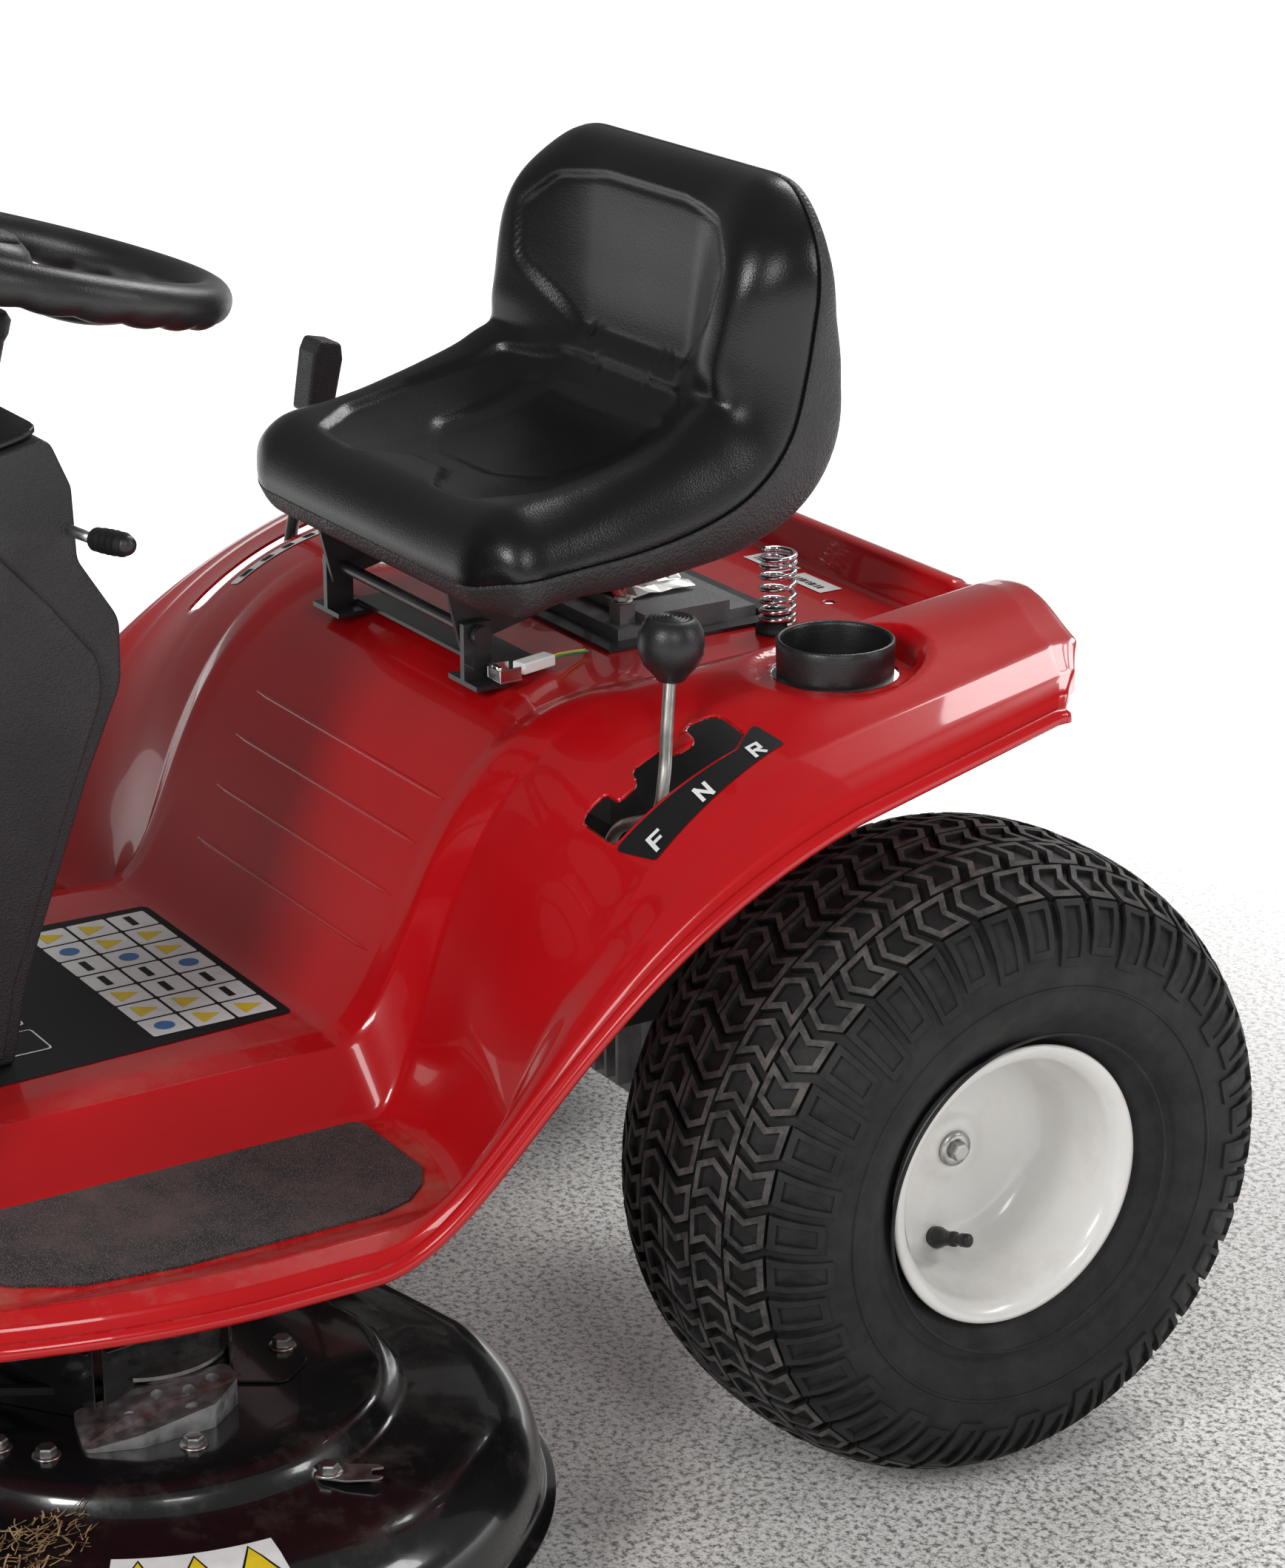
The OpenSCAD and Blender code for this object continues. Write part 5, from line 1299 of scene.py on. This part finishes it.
def lofted(name, outline, low, high, round_r, material, replaces=()):
    """A slab of a side outline (y, z), between two x positions, with rounded edges."""
    slab = between(name, *[[(x, y, z) for y, z in outline] for x in (low, high)])
    dress(bevelled(slab, round_r, 4, 50), "chassis", material, replaces)


def make_dash():
    side = rounded_path([(-0.150, 0.3690, 0.004), (-0.046, 0.3690, 0.004), (-0.032, 0.433, 0.06),
                         (0.024, 0.581, 0.08), (0.053, 0.645, 0.05), (0.054, 0.694, 0.03),
                         (0.024, 0.742, 0.02), (0.022, 0.796, 0.02), (0.006, 0.834, 0.012),
                         (-0.150, 0.799, 0.004)], 8)
    lofted("pedestal", side, -0.119, 0.119, 0.014, DASH_PLASTIC,
           ["dash_pedestal"])
    cover = rounded_path([(-0.149, 0.376, 0.004), (-0.056, 0.376, 0.004), (-0.044, 0.433, 0.05),
                          (0.010, 0.575, 0.06), (0.036, 0.640, 0.05), (0.034, 0.668, 0.03),
                          (0.000, 0.712, 0.05), (-0.060, 0.780, 0.03), (-0.149, 0.780, 0.004)], 8)
    for k, s in enumerate((-1, 1)):
        a, b = sorted((s * 0.1165, s * 0.1245))
        lofted(f"side_cover_{k}", cover, a, b, 0.003, DASH_PLASTIC)


def make_dash_top():
    tilt = Matrix.Translation((0, -0.150, 0.800)) @ Matrix.Rotation(math.atan2(38, 168), 4, "X")
    outline = rounded_path([(-0.112, 0.006, 0.014), (0.112, 0.006, 0.014), (0.112, 0.160, 0.022),
                            (-0.112, 0.160, 0.022)])
    sides = [[tilt @ Vector((x, y, z)) for x, y in outline] for z in (0.0003, 0.0053)]
    top = bevelled(between("dash_top", *sides), 0.002)
    dress(top, "chassis", TRIM_PLASTIC, ["dash_panel"])
    place = tilt @ Matrix.Translation((-0.072, 0.052, 0))
    dial = [place @ Vector((x, y, z)) for r, z in ((0.019, 0.0053), (0.0185, 0.0068), (0.0165, 0.0070))
            for x, y in circle(0, 0, r, 40)]
    bezel = outward(solid("key_bezel", dial, grid_faces(3, 40, wrap_cols=True)))
    modifier(bezel, "SOLIDIFY", thickness=0.001)
    dress(bezel, "chassis", DASH_PLASTIC)


# ---------- mower deck ----------

LEFT_SPINDLE, RIGHT_SPINDLE = (0.241, -0.010), (-0.235, -0.080)
# Section of the deck's skirt and top, in millimetres: distance out from the lobe's plan, and height
DECK_PROFILE = [(10, 60), (10, 62.5), (5, 63.5), (1, 67), (0, 74), (-1, 92), (-6, 108), (-15, 121),
                (-29, 131), (-48, 137), (-74, 141), (-98, 144), (-106, 148), (-111, 156), (-116, 161),
                (-124, 163.5), (-160, 164)]
LEFT_LOBE, RIGHT_LOBE = 0.290, 0.262
DECK_TOP = 0.164


def deck_outline(g, steps=72):
    """Plan of the deck grown by g millimetres: two round lobes joined by straight sides."""
    out = []
    for (cx, cy), r, first in ((LEFT_SPINDLE, LEFT_LOBE, -90), (RIGHT_SPINDLE, RIGHT_LOBE, 90)):
        for k in range(steps + 1):
            a = math.radians(first + 180 * k / steps)
            out.append((cx + (r + g * MM) * math.cos(a), cy + (r + g * MM) * math.sin(a)))
    return out


def make_deck():
    """Pan of the cutting deck, with its spindle holes and its discharge opening."""
    levels = [(g, z) for g, z in DECK_PROFILE] + [(g - 3, z - 3) for g, z in reversed(DECK_PROFILE[2:])]
    levels.append((7, 60))
    rows = [[(x, y, z * MM) for x, y in deck_outline(g)] for g, z in levels]
    around = len(rows[0])
    verts = [p for row in rows for p in row]
    outer = len(DECK_PROFILE)
    faces = grid_faces(outer, around, wrap_cols=True)
    inner = grid_faces(len(levels) - outer, around, wrap_cols=True)
    faces += [tuple(i + outer * around for i in f) for f in inner]
    last = (len(levels) - 1) * around
    faces += [(last + j, last + (j + 1) % around, (j + 1) % around, j) for j in range(around)]
    faces.append(tuple(range((outer - 1) * around, outer * around)))
    faces.append(tuple(range(outer * around, (outer + 1) * around)))
    shell = outward(solid("deck_shell", verts, faces))
    tools = [prism("tool", circle(x, y, 0.0225), 0.1, 0.2) for x, y in (LEFT_SPINDLE, RIGHT_SPINDLE)]
    tools.append(block("tool", (-0.560, -0.146, 0.050), (-0.430, 0.016, 0.126)))
    cut(shell, *tools)
    shell.data.shade_smooth()
    modifier(shell, "WEIGHTED_NORMAL", keep_sharp=True)
    dress(shell, "deck", BLACK_ENAMEL, ["mower_deck"])
    roof = bevelled(block("chute_roof", (-0.505, -0.150, 0.126), (-0.440, 0.020, 0.130)), 0.0015)
    dress(roof, "deck", BLACK_ENAMEL)
    for k, y in enumerate((-0.152, 0.016)):
        hole = [(0, -0.01), (0.00405, -0.01), (0.00405, 0.02), (0, 0.02)]
        ear = cut(block(f"chute_ear_{k}", (-0.516, y, 0.128), (-0.460, y + 0.004, 0.148)),
                  lathe("tool", hole, (-0.508, y, 0.140), "z"))
        dress(bevelled(ear, 0.0008), "deck", BLACK_ENAMEL)
        cheek = block(f"chute_side_{k}", (-0.505, y + 0.001, 0.090), (-0.440, y + 0.004, 0.128))
        dress(bevelled(cheek, 0.0008), "deck", BLACK_ENAMEL)


def deck_height(r):
    """Height of the deck's left lobe at a distance from its spindle."""
    steps = sorted(DECK_PROFILE)
    return float(np.interp((r - LEFT_LOBE) / MM, [p[0] for p in steps], [p[1] for p in steps])) * MM


def on_lobe(degrees, r, lift):
    a = math.radians(degrees)
    return (LEFT_SPINDLE[0] + r * math.cos(a), LEFT_SPINDLE[1] + r * math.sin(a), deck_height(r) + lift)


def lobe_patch(name, low, high, r_in, r_out, lift, material, tip=None):
    """A thin film on the lobe: an oblong, or a triangle when tip gives its far angle."""
    rows = []
    for t in np.linspace(0, 1, 15):
        a, b = low, high
        if tip is not None:
            a, b = low + (tip - low) * t, high + (tip - high) * t
        r = r_out + (r_in - r_out) * t
        rows.append([on_lobe(a + (b - a) * f, r, lift) for f in np.linspace(0, 1, 15)])
    patch = solid(name, [p for row in rows for p in row], grid_faces(15, 15))
    dress(patch, "deck", material)


def upright(name, start, end, high, fold, low=DECK_TOP, thick=0.0018):
    """A folded sheet standing on the deck between two points of its plan."""
    start, end = Vector(start), Vector(end)
    side = (end - start).normalized().orthogonal() * thick
    inward = side.normalized() * fold
    profile = [(Vector((0, 0)), low), (side, low), (side, high - 0.001), (inward, high - 0.001),
               (inward, high + 0.001), (Vector((0, 0)), high + 0.001)]
    ends = [[(p.x + o.x, p.y + o.y, z) for o, z in profile] for p in (start, end)]
    dress(bevelled(between(name, *ends), 0.0008), "deck", BLACK_ENAMEL)


def make_deck_top():
    """Covers, castings, bolts and labels on the deck."""
    for k, (x, y) in enumerate(((0.170, 0.070), (0.170, -0.190), (-0.170, 0.070), (-0.170, -0.190))):
        lug = block(f"link_lug_{k}", (x - 0.003, y - 0.016, 0.160), (x + 0.003, y + 0.016, 0.192))
        dress(bevelled(lug, 0.001), "deck", BLACK_ENAMEL)
    upright("belt_cover_1", (0.2935, -0.071), (0.2300, -0.120), 0.220, 0.010)
    upright("belt_cover_2", (0.2885, 0.030), (0.2970, -0.067), 0.222, 0.010)
    upright("cover_ear", (0.2196, 0.068), (0.2950, 0.033), 0.212, 0.006)
    foot = prism("cover_foot", rounded_path([(0.2196, 0.068, 0.002), (0.295, 0.033, 0.003),
                                             (0.317, 0.068, 0.010), (0.296, 0.096, 0.012),
                                             (0.242, 0.108, 0.008)]), 0.1642, 0.1664)
    dress(bevelled(foot, 0.0006), "deck", BLACK_ENAMEL)
    casting = prism("housing_foot", rounded_path([(0.286, -0.086, 0.006), (0.334, -0.099, 0.008),
                                                  (0.348, -0.060, 0.02), (0.348, -0.004, 0.012),
                                                  (0.324, 0.026, 0.010), (0.302, 0.028, 0.006),
                                                  (0.300, -0.030, 0.01)]), 0.1642, 0.186)
    for vert in casting.data.vertices:
        if vert.co.z > 0.18:
            vert.co.z -= 0.25 * max(0, -0.03 - vert.co.y) + 0.10 * max(0, vert.co.x - 0.31)
    pits = [lathe("tool", [(0, 0.176), (0.0045, 0.176), (0.0060, 0.20), (0, 0.20)], (x, y, 0), "z", 32)
            for x, y in ((0.315, 0.010), (0.318, -0.010), (0.312, -0.032), (0.320, -0.058), (0.335, -0.016))]
    cut(casting, *pits)
    dress(bevelled(casting, 0.0016), "deck", CAST_METAL)
    spots = [(0.321, -0.122), (0.362, -0.028), (0.292, -0.146), (0.267, 0.090), (0.421, 0.047),
             (0.180, -0.150)]
    for k, (x, y) in enumerate(spots):
        sheet_below = 0.0024 if k in (3, 4) else 0
        z = deck_height(math.hypot(x - LEFT_SPINDLE[0], y - LEFT_SPINDLE[1])) + sheet_below
        flange = [(0.0001, z), (0.0105, z), (0.010, z + 0.0015), (0.0001, z + 0.0018)]
        dress(lathe(f"deck_flange_{k}", flange, (x, y, 0), "z", 32), "deck", ZINC)
        hexagon(f"deck_bolt_{k}", "deck", (x, y, z + 0.0015), (0, 0, 1), 0.0075, 0.006)
    way, across = Vector((0.50, 0.866)), Vector((-0.866, 0.50))
    shape = [(-0.010, -0.006, 0.004), (0.012, -0.012, 0.006), (0.034, -0.011, 0.004), (0.040, -0.006, 0.002),
             (0.030, -0.004, 0.002), (0.030, 0.004, 0.002), (0.040, 0.006, 0.002), (0.034, 0.011, 0.004),
             (0.012, 0.012, 0.006), (-0.010, 0.006, 0.004)]
    outline = [Vector((0.421, 0.047)) + way * u + across * v for u, v in rounded_path(shape)]
    tag = prism("gauge_tag", [tuple(p) for p in outline], 0.1462, 0.1478)
    dress(bevelled(tag, 0.0004), "deck", DULL_STEEL)
    lobe_patch("deck_label", -31, -3, 0.226, 0.264, FILM, FILM_WHITE)
    for k, at in enumerate((-7.6, -17, -26.4)):
        lobe_patch(f"label_edge_{k}", at - 3.8, at + 3.8, 0.2285, 0.260, PRINT, FILM_BLACK, at)
        lobe_patch(f"label_sign_{k}", at - 3.1, at + 3.1, 0.2315, 0.2585, OVERPRINT, FILM_YELLOW, at)
    make_clippings()


def make_clippings():
    """Dry grass lying on the deck by its front edge."""
    rng = np.random.default_rng(11)
    verts, faces = [], []
    blades, heap = 150, 0.036
    for _ in range(blades):
        r = heap * math.sqrt(rng.random())
        turn = rng.random() * 2 * math.pi
        x, y = 0.392 + r * math.cos(turn) * 0.8, -0.165 + r * math.sin(turn) * 1.3
        away = math.hypot(x - LEFT_SPINDLE[0], y - LEFT_SPINDLE[1])
        z = deck_height(away) + 0.001 + 0.007 * (1 - r / heap) * rng.random()
        a = rng.random() * math.pi
        length, width = 0.005 + 0.015 * rng.random(), 0.0003 + 0.0004 * rng.random()
        rise, bow = 0.004 * rng.random(), 0.003 * (rng.random() - 0.5)
        way, side = (math.cos(a), math.sin(a)), (-math.sin(a), math.cos(a))
        first = len(verts)
        for t in (0, 0.33, 0.67, 1):
            cx = x + way[0] * (t - 0.5) * length + side[0] * bow * math.sin(math.pi * t)
            cy = y + way[1] * (t - 0.5) * length + side[1] * bow * math.sin(math.pi * t)
            for sign in (-1, 1):
                verts.append((cx + sign * side[0] * width, cy + sign * side[1] * width, z + rise * t))
        faces += [(first + k, first + k + 1, first + k + 3, first + k + 2) for k in (0, 2, 4)]
    straw = Look("straw", (0.36, 0.22, 0.10), 0.8)
    straw.color(straw.ramp(straw.noise(90, 2), (0.35, (0.10, 0.05, 0.02)), (0.65, (0.50, 0.33, 0.16))))
    dress(solid("clippings", verts, faces, smooth=False), "deck", straw.material)


# ---------- hood ----------

# Slices of the hood from the dash to the nose: y, half width, top, radius of its shoulders
HOOD_SLICES = [(-0.1525, 0.2395, 0.7395, 0.090), (-0.350, 0.2380, 0.7210, 0.088),
               (-0.560, 0.2335, 0.6895, 0.084), (-0.700, 0.2240, 0.6640, 0.082),
               (-0.790, 0.2120, 0.6400, 0.080), (-0.826, 0.1990, 0.6170, 0.076),
               (-0.8410, 0.1840, 0.5950, 0.070), (-0.8460, 0.1700, 0.5800, 0.062)]
HOOD_FOOT = 0.386


def make_hood():
    """The hood's shell through its slices, open at the dash and below, and the vent plates on its sides."""
    rows = []
    for y, half, top, corner in curve_through(HOOD_SLICES, 8):
        sides = [(half, HOOD_FOOT + (top - corner - HOOD_FOOT) * t) for t in np.linspace(0, 1, 12)]
        turn = [(half - corner + corner * math.cos(a), top - corner + corner * math.sin(a))
                for a in np.linspace(0, math.pi / 2, 16)[1:]]
        flat = [((half - corner) * (1 - t), top + 0.006 * math.sin(t * math.pi / 2))
                for t in np.linspace(0, 1, 12)[1:]]
        right = sides + turn + flat
        line = right + [(-x, z) for x, z in reversed(right[:-1])]
        rows.append([(x, y, z) for x, z in line])
    count, across = len(rows), len(rows[0])
    faces = grid_faces(count, across) + [tuple(range((count - 1) * across, count * across))]
    hood = outward(solid("hood_skin", [p for row in rows for p in row], faces))
    modifier(hood, "SOLIDIFY", thickness=0.003, offset=-1, use_even_offset=True)
    settled(hood)
    openings = ((-0.1205, 0.1205, 0.3995, 0.5005), (0.0640, 0.1560, 0.512, 0.556),
                (-0.1560, -0.0640, 0.512, 0.556))
    cut(hood, *[block("tool", (x0, -0.90, z0), (x1, -0.80, z1)) for x0, x1, z0, z1 in openings])
    hood.data.shade_smooth()
    modifier(hood, "WEIGHTED_NORMAL", keep_sharp=True)
    dress(hood, "bonnet", RED, ["hood"])
    places, halves = list(zip(*reversed(HOOD_SLICES)))[:2]
    for side in (-1, 1):
        for k in range(6):
            y = -0.60 + k * 0.034
            x = side * float(np.interp(y, places, halves))
            low, high = sorted((x - side * 0.001, x + side * 0.0025))
            hand = "r" if side < 0 else "l"
            vent = block(f"vent_{k}_{hand}", (low, y, 0.470), (high, y + 0.016, 0.560))
            dress(bevelled(vent, 0.0012), "bonnet", TRIM_PLASTIC)


# ---------- carried-over nodes ----------

def repaint(nodes, material, width=0.0):
    for name in nodes:
        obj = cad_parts[name]
        obj.data.materials.clear()
        obj.data.materials.append(material)
        if width:
            bevelled(obj, width, 2, 40)


def dress_cad():
    """Materials for the nodes that are shown as the part gives them."""
    repaint(["chassis_frame", "hitch_plate", "front_axle", "front_bumper", "brake_pedal", "lift_links",
             "seat_bracket", "seat_pan", "battery_tray"], FRAME_BLACK)
    repaint(["transaxle", "engine_block", "spindle_housings"], CAST_METAL)
    repaint(["engine_shroud", "air_cleaner", "grille", "deflector"], DASH_PLASTIC)
    repaint(["steering_shaft", "sector_gear", "drag_link", "left_spindle", "right_spindle", "tie_rod",
             "crank_pulley", "left_blade", "right_blade", "ignition_key"], DULL_STEEL)
    repaint(["muffler"], RUST)
    repaint(["battery"], GREY_PLASTIC, 0.002)
    repaint(["fuel_tank"], TANK_PLASTIC, 0.004)
    repaint(["footrest_pads"], GRIT)
    repaint(["headlight_lenses"], GLASS)
    repaint(["mower_belt"], RUBBER)


make_camera()
make_light()
make_floor()
BODY_GRID = make_body()
READ = surface_reader(BODY_GRID)
make_ribs(READ)
make_gate_decal(READ)
make_tunnel_sticker(READ)
make_small_labels(READ)
make_seat()
make_wheels()
make_steering_wheel()
make_column_cover()
make_shift_lever()
make_lift_lever()
make_brake_lock()
make_cup_holder()
make_springs()
make_battery_leads()
make_seat_plug()
make_dash()
make_dash_top()
make_deck()
make_deck_top()
make_hood()
dress_cad()
